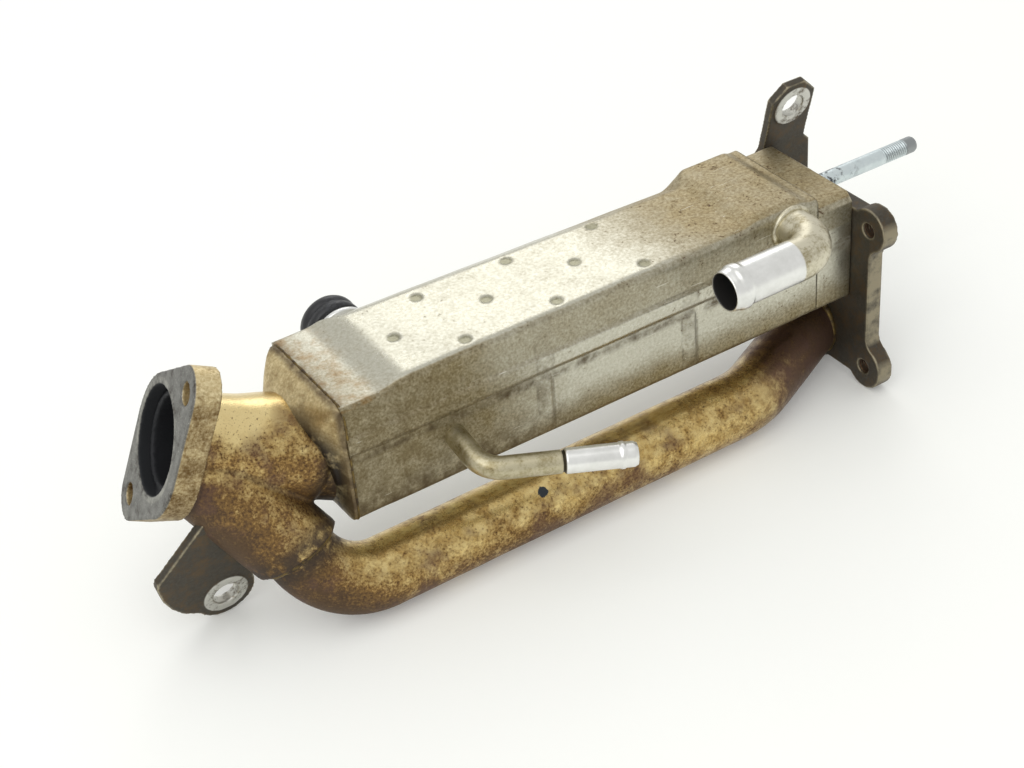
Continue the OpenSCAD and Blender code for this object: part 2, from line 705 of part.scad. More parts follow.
// bent bracket on the back of the outlet cap and the outlet flange
module upper_bracket() {
  u = [-sin(bracket_lean), cos(bracket_lean)];
  b = [cos(bracket_lean), sin(bracket_lean)];
  p0 = [shell_w, -bend_z];
  p1 = p0 + bracket_rise * u;
  x = bracket_at[0];
  color([0.30, 0.28, 0.26]) home() difference() {
    union() {
      along_x(x - stem_w / 2, stem_w) polygon([
        [shell_w, -bend_z - 2], p0, p1, p1 + bracket_t * b,
        [shell_w + bracket_t, -bend_z + bracket_t * tan(bracket_lean / 2)],
        [shell_w + bracket_t, -bend_z - 2]]);
      along_y(shell_w, bracket_t) polygon([
        [x - foot_w / 2, -bend_z - 3], [x - foot_w / 2, -bend_z - foot_h + 6],
        [x - foot_w / 2 + 6, -bend_z - foot_h], [x + foot_w / 2 - 6, -bend_z - foot_h],
        [x + foot_w / 2, -bend_z - foot_h + 6], [x + foot_w / 2, -bend_z - 3],
        [x + stem_w / 2, -bend_z], [x - stem_w / 2, -bend_z]]);
      translate(bracket_at) rotate([bracket_lean - 90, 0, 0]) rotate([0, 0, 22.5])
        cylinder(h = bracket_t, r = head_r / cos(22.5), $fn = 8);
      translate(bracket_at) rotate([bracket_lean - 90, 0, 0]) translate([0, 0, -seat_rise])
        cylinder(h = bracket_t, r = seat_r);
    }
    translate(bracket_at) rotate([bracket_lean - 90, 0, 0]) translate([0, 0, -over - seat_rise])
      cylinder(h = bracket_t + 4 * over, r = bracket_hole);
  }
}

// flat bracket on the bypass branch
module lower_bracket() {
  color([0.30, 0.27, 0.23]) home() difference() {
    translate(low_at) rotate([bracket_lean, 0, 0]) union() {
      along_y(0, bracket_t) polygon(low_head_r * [
        [-0.28, -0.9], [-1.42, -0.12], [-1.76, 0.34], [-2, 0.86], [-2.15, 1.56], [-2.12, 1.8],
        [-1.95, 1.98], [-0.56, 3.7], [0.31, 3.7], [1.23, 1.7], [0.92, 0.23], [0.46, -0.62]]);
      rotate([-90, 0, 0]) cylinder(h = bracket_t, r = low_head_r);
      rotate([-90, 0, 0]) translate([0, 0, -seat_rise]) cylinder(h = bracket_t, r = seat_r);
    }
    translate(low_at) rotate([bracket_lean - 90, 0, 0]) translate([0, 0, -over - seat_rise])
      cylinder(h = bracket_t + 4 * over, r = bracket_hole);
    branch_form();
    aim(flange_at, -axis_in) cylinder(h = neck_l, r = neck_r);
  }
}

// course of the coolant elbow as a rod: a root out of the tank and a bend
module elbow_form(r, more) {
  translate([elbow_at[0], 0, elbow_at[2]]) {
    rotate([0, 0, -90]) rod(-elbow_in - more, elbow_in + elbow_reach - elbow_bend + bite + more, r);
    translate([0, elbow_bend - elbow_reach, 0]) rotate([0, 0, -90]) mirror([0, 1, 0]) bend(elbow_bend, 90, r);
  }
}

// coolant elbow out of the tank, with a beaded hose end
module coolant_elbow() {
  ri = elbow_r - pipe_wall;
  l = elbow_run - elbow_bend;
  color([0.72, 0.70, 0.64]) home() difference() {
    union() {
      elbow_form(elbow_r, 0);
      translate([elbow_at[0] - elbow_bend, -elbow_reach, elbow_at[2]]) rotate([0, -90, 0])
      rotate_extrude() polygon([
        [0, -bite], [elbow_r, -bite], [elbow_r, l - bead_back], [elbow_r + bead_rise, l - 7 / 9 * bead_back],
        [elbow_r + bead_rise, l - 5 / 9 * bead_back], [elbow_r - 0.1, l - 3 / 9 * bead_back],
        [elbow_r - 0.6, l], [0, l]]);
    }
    elbow_form(ri, over);
    translate([elbow_at[0] - elbow_bend, -elbow_reach, elbow_at[2]]) rotate([0, 0, 180])
      rod(-bite, l + bite + over, ri);
  }
}

// start of the straight vent pipe, with X along it and the housing on its left
module vent_place() translate(vent_at) rotate([vent_dip, 0, 0]) rotate([0, 0, -vent_swing]) children();

// course of the vent pipe as a rod: a leg out of the wall and a bend
module vent_form(r, more) {
  mirror([1, 0, 0]) {
    bend(vent_bend, vent_turn, r);
    translate([vent_bend * sin(vent_turn), vent_bend * (1 - cos(vent_turn)), 0]) rotate([0, 0, vent_turn])
      rod(-bite, vent_leg + bite + more, r);
  }
}

// vent pipe out of the lower shell, with a swaged and beaded hose end
module vent_pipe() {
  ri = vent_r - pipe_wall;
  l = vent_run;
  s = l - vent_end_l;
  color([0.70, 0.67, 0.58]) home() vent_place() difference() {
    union() {
      vent_form(vent_r, 0);
      rotate([0, 90, 0]) rotate_extrude() polygon([
        [0, -bite], [vent_r, -bite], [vent_r, s], [vent_end_r, s + 1], [vent_end_r, l - vent_bead],
        [vent_end_r + 0.4, l - 13 / 15 * vent_bead], [vent_end_r + 0.4, l - 11 / 15 * vent_bead],
        [vent_end_r, l - 9 / 15 * vent_bead], [vent_end_r, l - 1], [vent_end_r - 0.6, l], [0, l]]);
    }
    vent_form(ri, over);
    rod(-bite, l + bite + over, ri);
  }
}

// coolant stub on the back wall, with a collar against the shell
module rear_stub() {
  ri = stub_r - pipe_wall;
  color([0.72, 0.70, 0.66]) home() aim([stub_at[0], shell_w - sheet - 1, stub_at[2]], [0, 1, 0])
    rotate_extrude() polygon([
      [ri, 0], [stub_r, 0], [stub_r, sheet + 1], [collar_r, sheet + 1],
      [collar_r, sheet + 1 + collar_t - 0.8], [collar_r - 0.8, sheet + 1 + collar_t],
      [stub_r, sheet + 1 + collar_t], [stub_r, sheet + 1 + stub_l - 1],
      [stub_r - 0.6, sheet + 1 + stub_l], [ri, sheet + 1 + stub_l]]);
}

// ribbed rubber seal on the rear stub
module stub_seal() {
  n = 4;
  p = seal_l / n;
  g = 0.5;
  ridge = [for (k = [0:n - 1]) each [
    [seal_r - g, k * p], [seal_r, k * p + 0.4 * p], [seal_r, k * p + 0.8 * p]]];
  color([0.06, 0.06, 0.06]) home() aim([stub_at[0], seal_y, stub_at[2]], [0, 1, 0])
    rotate_extrude() polygon(concat([[stub_r, 0]], ridge, [[seal_r - g, seal_l], [stub_r, seal_l]]));
}

upper_shell();
lower_shell();
inlet_end_cap();
outlet_end_cap();
inlet_tube_plate();
outlet_tube_plate();
gas_tube(0);  // gas_tube_1
gas_tube(1);  // gas_tube_2
gas_tube(2);  // gas_tube_3
gas_tube(3);  // gas_tube_4
gas_tube(4);  // gas_tube_5
turbulator(0);  // turbulator_1
turbulator(1);  // turbulator_2
turbulator(2);  // turbulator_3
turbulator(3);  // turbulator_4
turbulator(4);  // turbulator_5
inlet_manifold();
inlet_flange();
bypass_tube();
outlet_flange();
flange_stud();
upper_bracket();
lower_bracket();
coolant_elbow();
vent_pipe();
rear_stub();
stub_seal();
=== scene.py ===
import math

import bmesh
import bpy
from mathutils import Euler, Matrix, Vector, noise


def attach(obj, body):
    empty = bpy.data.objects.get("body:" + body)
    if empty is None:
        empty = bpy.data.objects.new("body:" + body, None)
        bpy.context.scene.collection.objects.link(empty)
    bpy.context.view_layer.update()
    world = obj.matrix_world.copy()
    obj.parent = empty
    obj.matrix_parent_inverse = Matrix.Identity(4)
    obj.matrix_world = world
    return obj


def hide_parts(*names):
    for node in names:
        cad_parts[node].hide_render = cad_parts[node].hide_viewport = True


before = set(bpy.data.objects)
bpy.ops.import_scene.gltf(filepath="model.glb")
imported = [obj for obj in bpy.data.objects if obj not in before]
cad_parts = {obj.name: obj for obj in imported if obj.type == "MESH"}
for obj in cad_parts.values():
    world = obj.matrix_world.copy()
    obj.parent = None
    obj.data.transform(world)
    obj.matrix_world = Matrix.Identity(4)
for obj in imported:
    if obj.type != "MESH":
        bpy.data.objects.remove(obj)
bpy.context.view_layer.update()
scene = bpy.context.scene
scene.view_settings.view_transform = "Standard"

# Sizes below are in millimetres from the inlet top front corner of the housing, as in the part's source.
HOME = Vector((-255, -28.75, 27.1))
LENGTH, WIDTH, HEIGHT = 228, 57.5, 54.2
SHEET = 1.5
RIBS = (88.5, 160)
TOP_RAMP, TOP_RISE = (14, 31), 3
TANK_RAMP, TANK_END, TANK_RISE = (187, 199), (219, 225), 2.5
INLET_AXIS = Vector((-0.898599, 0.179558, 0.400349))
INLET_FACE = Vector((-60.02, 37.95, -7.68))
NECK_END = Vector((-11.5, 28.25, -29.3))
SOCKET = Vector((-23.60, 8.80, -61.10))
BRANCH = Vector((0.2924, -0.4563, -0.8404))
PORT = Vector((247, 24.88, -77.94))
UPPER_HOLE, LOWER_HOLE = Vector((256.5, 52.01, 16.38)), Vector((-49.2, 28.0, -83.38))
BRACKET_FACE = Vector((0, -0.965926, -0.258819))
VENT_START, VENT_WAY = Vector((53.3, -23.4, -38.4)), Vector((0.9205, -0.3822, -0.0812))
VENT_SIDE = Vector((0.3907, 0.9004, 0.1914))
ELBOW_ROOT, ELBOW_AXIS = Vector((213.5, 4.2, -4.8)), Vector((0, -20.7, -4.8))
STUD_START, STUD_L, PITCH = Vector((247, 69, -42)), 98, 1.25
STUD_TIP = STUD_START + Vector((STUD_L, 0, 0))
TAPPED_EARS = {"upper": Vector((247.6, -9.9, -15)), "lower": Vector((247.6, -9.9, -85.44))}
BLOT = Vector((76.5, -11.4, -70))
FLANGE_T = 10.5
FLOOR_Z, FLOOR_HALF = -95.94, 6
MIDDLE = Vector((100, 28, -30))
ROUND = 2 * math.pi


def at(p):
    """Metres in the frame of the part, from a point in millimetres from the housing corner."""
    return (Vector(p) + HOME) / 1000


def from_corner(p):
    """Millimetres from the housing corner, from a point in metres in the frame of the part."""
    return Vector(p) * 1000 - HOME


def ease(x, a, b):
    """0 before a, 1 after b and a smooth step between."""
    t = min(1, max(0, (x - a) / (b - a)))
    return t * t * (3 - 2 * t)


# Materials

def colour(code):
    """Linear colour of an sRGB hex value."""
    parts = [int(code[i:i + 2], 16) / 255 for i in (1, 3, 5)]
    return [c / 12.92 if c <= 0.04045 else ((c + 0.055) / 1.055) ** 2.4 for c in parts] + [1]


def add(tree, kind, inputs, out=0, **settings):
    """Adds a node with its settings, sets or links its inputs and gives back one output."""
    node = tree.nodes.new("ShaderNode" + kind)
    for name, value in settings.items():
        setattr(node, name, value)
    for socket, value in inputs.items():
        if isinstance(value, bpy.types.NodeSocket):
            tree.links.new(value, node.inputs[socket])
        else:
            node.inputs[socket].default_value = colour(value) if isinstance(value, str) else value
    return node.outputs[out]


def finish_of(paint):
    """A material with the name of the function that paints it, which is given the node tree and the
    surface point in millimetres from the housing corner."""
    material = bpy.data.materials.new(paint.__name__)
    material.use_nodes = True
    tree = material.node_tree
    tree.nodes.clear()
    point = add(tree, "TexCoord", {}, out="Object")
    point = add(tree, "VectorMath", {0: point, 1: (1000, 1000, 1000)}, operation="MULTIPLY")
    paint(tree, add(tree, "VectorMath", {0: point, 1: HOME}, operation="SUBTRACT"))
    return material


def close(tree, base, metallic, rough, height, depth, **extra):
    """Ends a tree with the surface shader and a bump of the given depth in millimetres."""
    normal = add(tree, "Bump", {"Height": height, "Distance": depth / 1000, "Strength": 1})
    shader = add(tree, "BsdfPrincipled", {
        "Base Color": base, "Metallic": metallic, "Roughness": rough, "Normal": normal, **extra})
    tree.links.new(shader, tree.nodes.new("ShaderNodeOutputMaterial").inputs[0])


def noises(tree, point, *rows):
    """Noises of sizes in millimetres, each with its detail and its roughness."""
    return [add(tree, "TexNoise", {"Vector": point, "Scale": 1 / size, "Detail": detail, "Roughness": rough})
            for size, detail, rough in rows]


def two_tone(tree, grain, light, dark):
    """A finish of two tones, shared out by a noise."""
    share = add(tree, "MapRange", {0: grain, 1: 0.3, 2: 0.7})
    return add(tree, "Mix", {0: share, 6: light, 7: dark}, out=2, data_type="RGBA")


def coats(tree, base, *rows):
    """Coats of colour over a base, each laid by a mask at a share of its strength."""
    for mask, share, code in rows:
        thin = mask if share == 1 else add(tree, "Math", {0: mask, 1: share}, operation="MULTIPLY")
        base = add(tree, "Mix", {0: thin, 6: base, 7: code}, out=2, data_type="RGBA")
    return base


def broken(tree, mask, grain, a, b, low=0, high=1):
    """Mask broken up by a noise: from a low to a high share where the noise goes from a to b."""
    share = add(tree, "MapRange", {0: grain, 1: a, 2: b, 3: low, 4: high})
    return add(tree, "Math", {0: mask, 1: share}, operation="MULTIPLY")


def together(tree, operation, first, *masks):
    """One mask from several, taken together one after another."""
    for mask in masks:
        first = add(tree, "Math", {0: first, 1: mask}, operation=operation)
    return first


def off_plane(tree, point, axis, level):
    """Distance in millimetres from a plane square to an axis."""
    far = add(tree, "Math", {0: add(tree, "SeparateXYZ", {0: point}, out=axis), 1: level}, operation="SUBTRACT")
    return add(tree, "Math", {0: far}, operation="ABSOLUTE")


def specks(tree, point, size, clump, low, high, seed=0):
    """Mask of specks of a size that gather in clumps, from the sum of two noises."""
    shift = add(tree, "VectorMath", {0: point, 1: (seed * 31, seed * 17, seed * 53)}, operation="ADD")
    fine = add(tree, "TexNoise", {"Vector": shift, "Scale": 1 / size, "Detail": 3, "Roughness": 0.6})
    patch = add(tree, "TexNoise", {"Vector": shift, "Scale": 1 / clump, "Detail": 3})
    both = add(tree, "Math", {0: fine, 1: patch}, operation="ADD")
    return add(tree, "MapRange", {0: both, 1: low, 2: high}, interpolation_type="SMOOTHSTEP")


def scratches(tree, point, turn, low, high):
    """Mask of long thin scratches, 0.5 mm wide and about 20 mm long, at an angle in the top plane."""
    drawn = add(tree, "Mapping", {"Vector": point, "Rotation": turn, "Scale": (1 / 20, 2, 2)})
    lines = add(tree, "TexNoise", {"Vector": drawn, "Scale": 1, "Detail": 2, "Distortion": 0.4})
    return add(tree, "MapRange", {0: lines, 1: low, 2: high}, interpolation_type="SMOOTHSTEP")


def along(tree, point, start, way, a, b):
    """Mask that goes from 0 to 1 between a and b millimetres from a start along a way."""
    step = add(tree, "VectorMath", {0: point, 1: start}, operation="SUBTRACT")
    far = add(tree, "VectorMath", {0: step, 1: way}, out="Value", operation="DOT_PRODUCT")
    return add(tree, "MapRange", {0: far, 1: a, 2: b}, interpolation_type="SMOOTHSTEP")


def off_axis(tree, point, start, way, a, b):
    """Mask that goes from 0 to 1 between a and b millimetres away from a line."""
    step = add(tree, "VectorMath", {0: point, 1: start}, operation="SUBTRACT")
    arm = add(tree, "VectorMath", {0: step, 1: way}, operation="CROSS_PRODUCT")
    far = add(tree, "VectorMath", {0: arm}, out="Value", operation="LENGTH")
    return add(tree, "MapRange", {0: far, 1: a, 2: b}, interpolation_type="SMOOTHSTEP")


def spot(tree, point, centre, a, b):
    """Mask that is 1 within a and falls to 0 at b millimetres from a centre."""
    far = add(tree, "VectorMath", {0: point, 1: centre}, out="Value", operation="DISTANCE")
    return add(tree, "MapRange", {0: far, 1: a, 2: b, 3: 1, 4: 0}, interpolation_type="SMOOTHSTEP")


def pressed_stainless(t, p):
    """Cold rolled stainless sheet after brazing: a soft grey sheen under a grainy tan film, with rust
    specks, pale scratches, brown grime at the inlet seam and at the hot end, and painted shade under the lap,
    on and beside the ribs, along the bottom and in the dimples and hollows."""
    grain, middle, broad = noises(t, p, (1.3, 4, 0.7), (7, 4, 0.65), (34, 3, 0.5))
    base = two_tone(t, grain, "#D2D0C2", "#B5B19E")
    # how far the tan film covers: the front wall by zones, thicker towards the bottom as painted shade, the top
    # towards both ends
    front = along(t, p, (0, 2.2, 0), (0, -1, 0), 0, 1)
    upper = along(t, p, (0, 0, -15), (0, 0, 1), 0, 1)
    low = along(t, p, (0, 0, -33), (0, 0, -1), 0, 17)
    left = along(t, p, (104, 0, 0), (-1, 0, -0.4), 0, 64)
    lap = add(t, "Math", {0: upper, 1: 0.62}, operation="MULTIPLY")
    wall = together(t, "MAXIMUM", low, left, lap)
    tank = along(t, p, (128, 0, 0), (1, 0.25, 0), 0, 62)
    step = along(t, p, (34, 0, 0), (-1, -0.3, 0), 0, 26)
    step = add(t, "Math", {0: step, 1: 0.5}, operation="MULTIPLY")
    lid = add(t, "Math", {0: tank, 1: step}, operation="MAXIMUM")
    cover = add(t, "Mix", {0: front, 2: lid, 3: wall})
    cover = add(t, "Math", {0: cover, 1: 0.86}, operation="MULTIPLY")
    for part, share in ((grain, 0.5), (middle, 0.55), (broad, 0.6)):
        bit = add(t, "Math", {0: part, 1: 0.5}, operation="SUBTRACT")
        cover = add(t, "Math", {0: bit, 1: share, 2: cover}, operation="MULTIPLY_ADD")
    film = add(t, "MapRange", {0: cover, 1: 0.05, 2: 0.95, 4: 0.9})
    brown = two_tone(t, grain, "#9B8B61", "#625332")
    tan = two_tone(t, grain, "#B7A67C", "#806D48")
    brown = add(t, "Mix", {0: front, 6: tan, 7: brown}, out=2, data_type="RGBA")
    # painted shade: dark lines under the lap, along the bottom edge, on and beside the ribs; grime at the hot end and
    # at the inlet seam
    lines = []
    for height, thick in ((-22.4, 1.5), (-25, 3.4), (-55, 3)):
        line = off_plane(t, p, "Z", height)
        lines.append(add(t, "MapRange", {0: line, 1: thick, 2: 0.2}, interpolation_type="SMOOTHSTEP"))
    for rib in RIBS:
        line = off_plane(t, p, "X", rib)
        band = add(t, "MapRange", {0: line, 1: 4.6, 2: 3.8, 4: 0.42}, interpolation_type="SMOOTHSTEP")
        side = add(t, "Math", {0: add(t, "Math", {0: line, 1: 3.7}, operation="SUBTRACT")}, operation="ABSOLUTE")
        side = add(t, "MapRange", {0: side, 1: 1.1, 2: 0.2, 4: 0.62}, interpolation_type="SMOOTHSTEP")
        band = add(t, "Math", {0: band, 1: side}, operation="MAXIMUM")
        lines.append(broken(t, band, upper, 0, 1, 1, 0.3))
    # painted shade: darker towards the bottom of the front wall, most at the inlet end
    deep = add(t, "Math", {0: low, 1: left}, operation="MULTIPLY")
    near = along(t, p, (62, 0, 0), (-1, 0, -0.3), 0, 50)
    near = add(t, "Math", {0: near, 1: 0.4}, operation="MULTIPLY")
    darkening = together(t, "MAXIMUM", deep, near, *lines)
    darkening = add(t, "Math", {0: darkening, 1: front}, operation="MULTIPLY")
    darkening = add(t, "Math", {0: darkening, 1: along(t, p, (0, 0, 0), (-1, 0, 0), -5, 0.5)}, operation="MAXIMUM")
    darkening = broken(t, darkening, middle, 0.34, 0.64, high=0.9)
    # painted shade in the dimples and in the outlet cap's creases
    hollow_shade = add(t, "Attribute", {}, out="Fac", attribute_name="dent")
    stain = add(t, "MapRange", {0: middle, 1: 0.44, 2: 0.66, 3: 0, 4: 0.5})
    end, top = along(t, p, (22, 0, 0), (-1, 0, 0), 0, 12), along(t, p, (0, 0, -2), (0, 0, 1), 0, 1)
    stain = together(t, "MULTIPLY", stain, end, top)
    # rust specks about 1 mm across, thickest on the tank
    more = add(t, "Math", {0: tank, 1: 0.09}, operation="MULTIPLY")
    rust = together(t, "ADD", grain, middle, more)
    rust = add(t, "MapRange", {0: rust, 1: 1.24, 2: 1.36}, interpolation_type="SMOOTHSTEP")
    worn = scratches(t, p, (0, 0, 0.55), 0.71, 0.78)
    base = coats(t, base, (film, 1, brown), (darkening, 1, "#54462E"), (hollow_shade, 0.75, "#77745A"), (stain, 1, "#A07A44"),
                 (rust, 1, "#5A4229"), (worn, 1, "#E9E6DA"))
    dull = add(t, "Math", {0: darkening, 1: rust}, operation="MAXIMUM")
    metallic = add(t, "MapRange", {0: dull, 3: 1, 4: 0.4})
    rough = add(t, "MapRange", {0: cover, 1: -0.1, 2: 0.6, 3: 0.27, 4: 0.5})
    rough = add(t, "Math", {0: dull, 1: 0.2, 2: rough}, operation="MULTIPLY_ADD")
    close(t, base, metallic, rough, grain, 0.07)


def browned_stainless(t, p):
    """Stainless cap browned by exhaust heat: tan metal that goes dark and sooty round the neck."""
    grain, middle = noises(t, p, (1.2, 4, 0.7), (8, 5, 0.65))
    base = two_tone(t, grain, "#E2D2A6", "#C6B080")
    cover = add(t, "Math", {0: grain, 1: 0.5, 2: middle}, operation="MULTIPLY_ADD")
    film = add(t, "MapRange", {0: cover, 1: 0.6, 2: 1.1})
    low = along(t, p, (0, 0, -20), (0, -0.5, -1), 0, 36)
    low = broken(t, low, middle, 0.28, 0.6)
    soot = off_axis(t, p, (-6, 27.2, -31.5), (1, 0, 0), 33, 23)
    dome, under = along(t, p, (0, 0, 0), (-1, 0, 0), 1.0, 2.2), along(t, p, (0, 27, -31), (0, -0.8, -0.6), -24, 4)
    soot = together(t, "MULTIPLY", soot, dome, under)
    soot = broken(t, soot, middle, 0.25, 0.5)
    seam = along(t, p, (-3.6, 0, 0), (1, 0, 0), 0, 2.4)
    seam = broken(t, seam, middle, 0.25, 0.6, 0.35, 0.9)
    base = coats(t, base, (film, 1, "#8E774E"), (low, 0.6, "#57462C"), (soot, 1, "#231C14"), (seam, 1, "#4B3B25"))
    dull = together(t, "MAXIMUM", soot, low, seam)
    metallic = add(t, "MapRange", {0: dull, 3: 0.95, 4: 0.35})
    rough = add(t, "MapRange", {0: film, 3: 0.4, 4: 0.55})
    close(t, base, metallic, rough, grain, 0.07)


def heat_tinted_stainless(t, p):
    """Stainless tube coloured by exhaust heat: gold to bronze under a grainy brown oxide with purple
    clouds, a burnt band at the brazed socket and soot inside."""
    grain, middle = noises(t, p, (1.1, 4, 0.72), (5.5, 4, 0.65))
    broad = add(t, "TexNoise", {"Vector": p, "Scale": 1 / 26, "Detail": 3, "Distortion": 0.6})
    base = two_tone(t, middle, "#DFC88C", "#BF9E5C")
    # where the oxide is thick: the outlet end, the first bend and the branch; thinner on top and thicker underneath as
    # painted light and shade
    far = along(t, p, (150, 0, 0), (1, 0, 0.3), 0, 70)
    bend = along(t, p, (0, 0, 0), (-0.8, 0, -0.6), 24, 66)
    bias = add(t, "Math", {0: far, 1: bend}, operation="MAXIMUM")
    # painted light and shade: lighter where the surface faces up, darker where it faces down
    under = add(t, "SeparateXYZ", {0: add(t, "NewGeometry", {}, out="Normal")}, out="Z")
    under = add(t, "MapRange", {0: under, 1: 0.75, 2: -0.5, 3: -0.1, 4: 0.16})
    cover = add(t, "Math", {0: bias, 1: 0.42, 2: under}, operation="MULTIPLY_ADD")
    for part, share in ((grain, 0.85), (middle, 0.7), (broad, 0.8)):
        cover = add(t, "Math", {0: part, 1: share, 2: cover}, operation="MULTIPLY_ADD")
    fleck = add(t, "MapRange", {0: grain, 1: 0.3, 2: 0.68})
    oxide = add(t, "Mix", {0: fleck, 6: "#9C7A48", 7: "#5F4327"}, out=2, data_type="RGBA")
    # painted highlight: a paler, less oxidised spot on the top of the neck
    neck_top_highlight = spot(t, p, (-30, 30, 2), 11, 23)
    cover = add(t, "Math", {0: neck_top_highlight, 1: -0.3, 2: cover}, operation="MULTIPLY_ADD")
    brown = add(t, "MapRange", {0: cover, 1: 1.02, 2: 1.38, 4: 0.95})
    burnt = add(t, "MapRange", {0: cover, 1: 1.32, 2: 1.7, 4: 0.85})
    tail = along(t, p, (172, 0, 0), (1, 0, 0), 0, 40)
    tail = broken(t, tail, middle, 0.25, 0.6, 0.5, 0.9)
    pits = add(t, "MapRange", {0: grain, 1: 0.59, 2: 0.67})
    pits = broken(t, pits, broad, 0.35, 0.6, 0.1, 0.85)
    violet = specks(t, p, 12, 50, 0.98, 1.22, 7)
    violet = add(t, "Math", {0: violet, 1: neck_top_highlight}, operation="SUBTRACT", use_clamp=True)
    rise = along(t, p, SOCKET, BRANCH, -12, -3)
    fall = along(t, p, SOCKET, -BRANCH, -13, -3)
    band = together(t, "MULTIPLY", rise, fall, spot(t, p, SOCKET, 24, 30))
    band = broken(t, band, middle, 0.3, 0.5, high=0.85)
    joint = along(t, p, NECK_END, -INLET_AXIS, 1, 8)
    joint = add(t, "Math", {0: joint, 1: spot(t, p, NECK_END, 27, 31)}, operation="MULTIPLY")
    # painted shade in the casting's creases, joined to the dark ring where the neck meets the cap
    hollow_shade = add(t, "Attribute", {}, out="Fac", attribute_name="dent")
    hollow_shade = add(t, "Math", {0: hollow_shade, 1: 0.5}, operation="MULTIPLY")
    joint = add(t, "Math", {0: joint, 1: hollow_shade}, operation="MAXIMUM")
    joint = broken(t, joint, middle, 0.2, 0.5, high=0.85)
    blot = add(t, "Math", {0: grain, 1: 0.9, 2: spot(t, p, BLOT, 0.4, 3.6)}, operation="MULTIPLY_ADD")
    blot = add(t, "MapRange", {0: blot, 1: 0.78, 2: 0.9})
    blot = add(t, "Math", {0: blot, 1: spot(t, p, BLOT, 3.2, 3.6)}, operation="MULTIPLY")
    inside = off_axis(t, p, INLET_FACE, INLET_AXIS, 17.8, 17.2)
    inside = add(t, "Math", {0: inside, 1: along(t, p, INLET_FACE, INLET_AXIS, -53, -50)}, operation="MULTIPLY")
    mouth = off_axis(t, p, INLET_FACE, INLET_AXIS, 21.8, 21.2)
    mouth = add(t, "Math", {0: mouth, 1: along(t, p, INLET_FACE, INLET_AXIS, -9, -8)}, operation="MULTIPLY")
    soot = add(t, "Attribute", {}, out="Fac", attribute_name="soot")
    inside = together(t, "MAXIMUM", inside, mouth, soot)
    base = coats(t, base, (neck_top_highlight, 0.7, "#F2DDA4"), (brown, 1, oxide), (tail, 1, "#6A5444"), (burnt, 1, "#4A3725"),
                 (pits, 1, "#46321F"), (violet, 0.55, "#634A42"), (band, 1, "#3A3027"), (joint, 1, "#33271C"),
                 (blot, 1, "#2A3036"), (inside, 1, "#1E1F22"))
    dull = together(t, "MAXIMUM", burnt, band, inside, blot, joint)
    metallic = add(t, "MapRange", {0: dull, 3: 0.95, 4: 0.4})
    rough = add(t, "MapRange", {0: brown, 3: 0.22, 4: 0.46})
    rough = add(t, "Math", {0: dull, 1: 0.18, 2: rough}, operation="MULTIPLY_ADD")
    close(t, base, metallic, rough, grain, 0.07)


def machined_flange_steel(t, p):
    """Cast flange with a milled face: scratched grey face, pale and stained where the gasket sat, sooty
    bore and a heat gilded rim, with painted shade where the rim turns down."""
    grain, middle = noises(t, p, (1.1, 4, 0.7), (7, 5, 0.65))
    rim = two_tone(t, grain, "#EADBB0", "#BDA574")
    cover = add(t, "Math", {0: grain, 1: 0.6, 2: middle}, operation="MULTIPLY_ADD")
    # painted shade with grime: the rim goes dark brown where it faces sideways and down, broken by a noise
    under = add(t, "SeparateXYZ", {0: add(t, "NewGeometry", {}, out="Normal")}, out="Z")
    side = add(t, "MapRange", {0: under, 1: 0.7, 2: 0.1, 3: -0.25, 4: 0.16})
    side = add(t, "Math", {0: side, 1: cover}, operation="ADD")
    darkening = add(t, "MapRange", {0: side, 1: 0.6, 2: 1.16})
    rim = add(t, "Mix", {0: darkening, 6: rim, 7: "#6A5230"}, out=2, data_type="RGBA")
    grey = two_tone(t, middle, "#7E7D78", "#62615D")
    lines = scratches(t, p, (0.4, 1.1, 0.3), 0.58, 0.74)
    gasket = off_axis(t, p, INLET_FACE, INLET_AXIS, 24.2, 23.2)
    gasket = broken(t, gasket, cover, 0.9, 0.6)
    stain = add(t, "MapRange", {0: cover, 1: 0.84, 2: 1.04}, interpolation_type="SMOOTHSTEP")
    grey = coats(t, grey, (lines, 1, "#A9A8A0"), (gasket, 1, "#9C9B92"), (stain, 1, "#474038"))
    face = along(t, p, INLET_FACE, INLET_AXIS, -0.9, -0.3)
    base = add(t, "Mix", {0: face, 6: rim, 7: grey}, out=2, data_type="RGBA")
    bore = off_axis(t, p, INLET_FACE, INLET_AXIS, 21.7, 21.1)
    base = add(t, "Mix", {0: bore, 6: base, 7: "#1B1D20"}, out=2, data_type="RGBA")
    metallic = add(t, "MapRange", {0: bore, 3: 0.9, 4: 0.1})
    rough = add(t, "MapRange", {0: darkening, 3: 0.44, 4: 0.6})
    rough = add(t, "Math", {0: bore, 1: 0.3, 2: rough}, operation="MULTIPLY_ADD")
    close(t, base, metallic, rough, grain, 0.06)


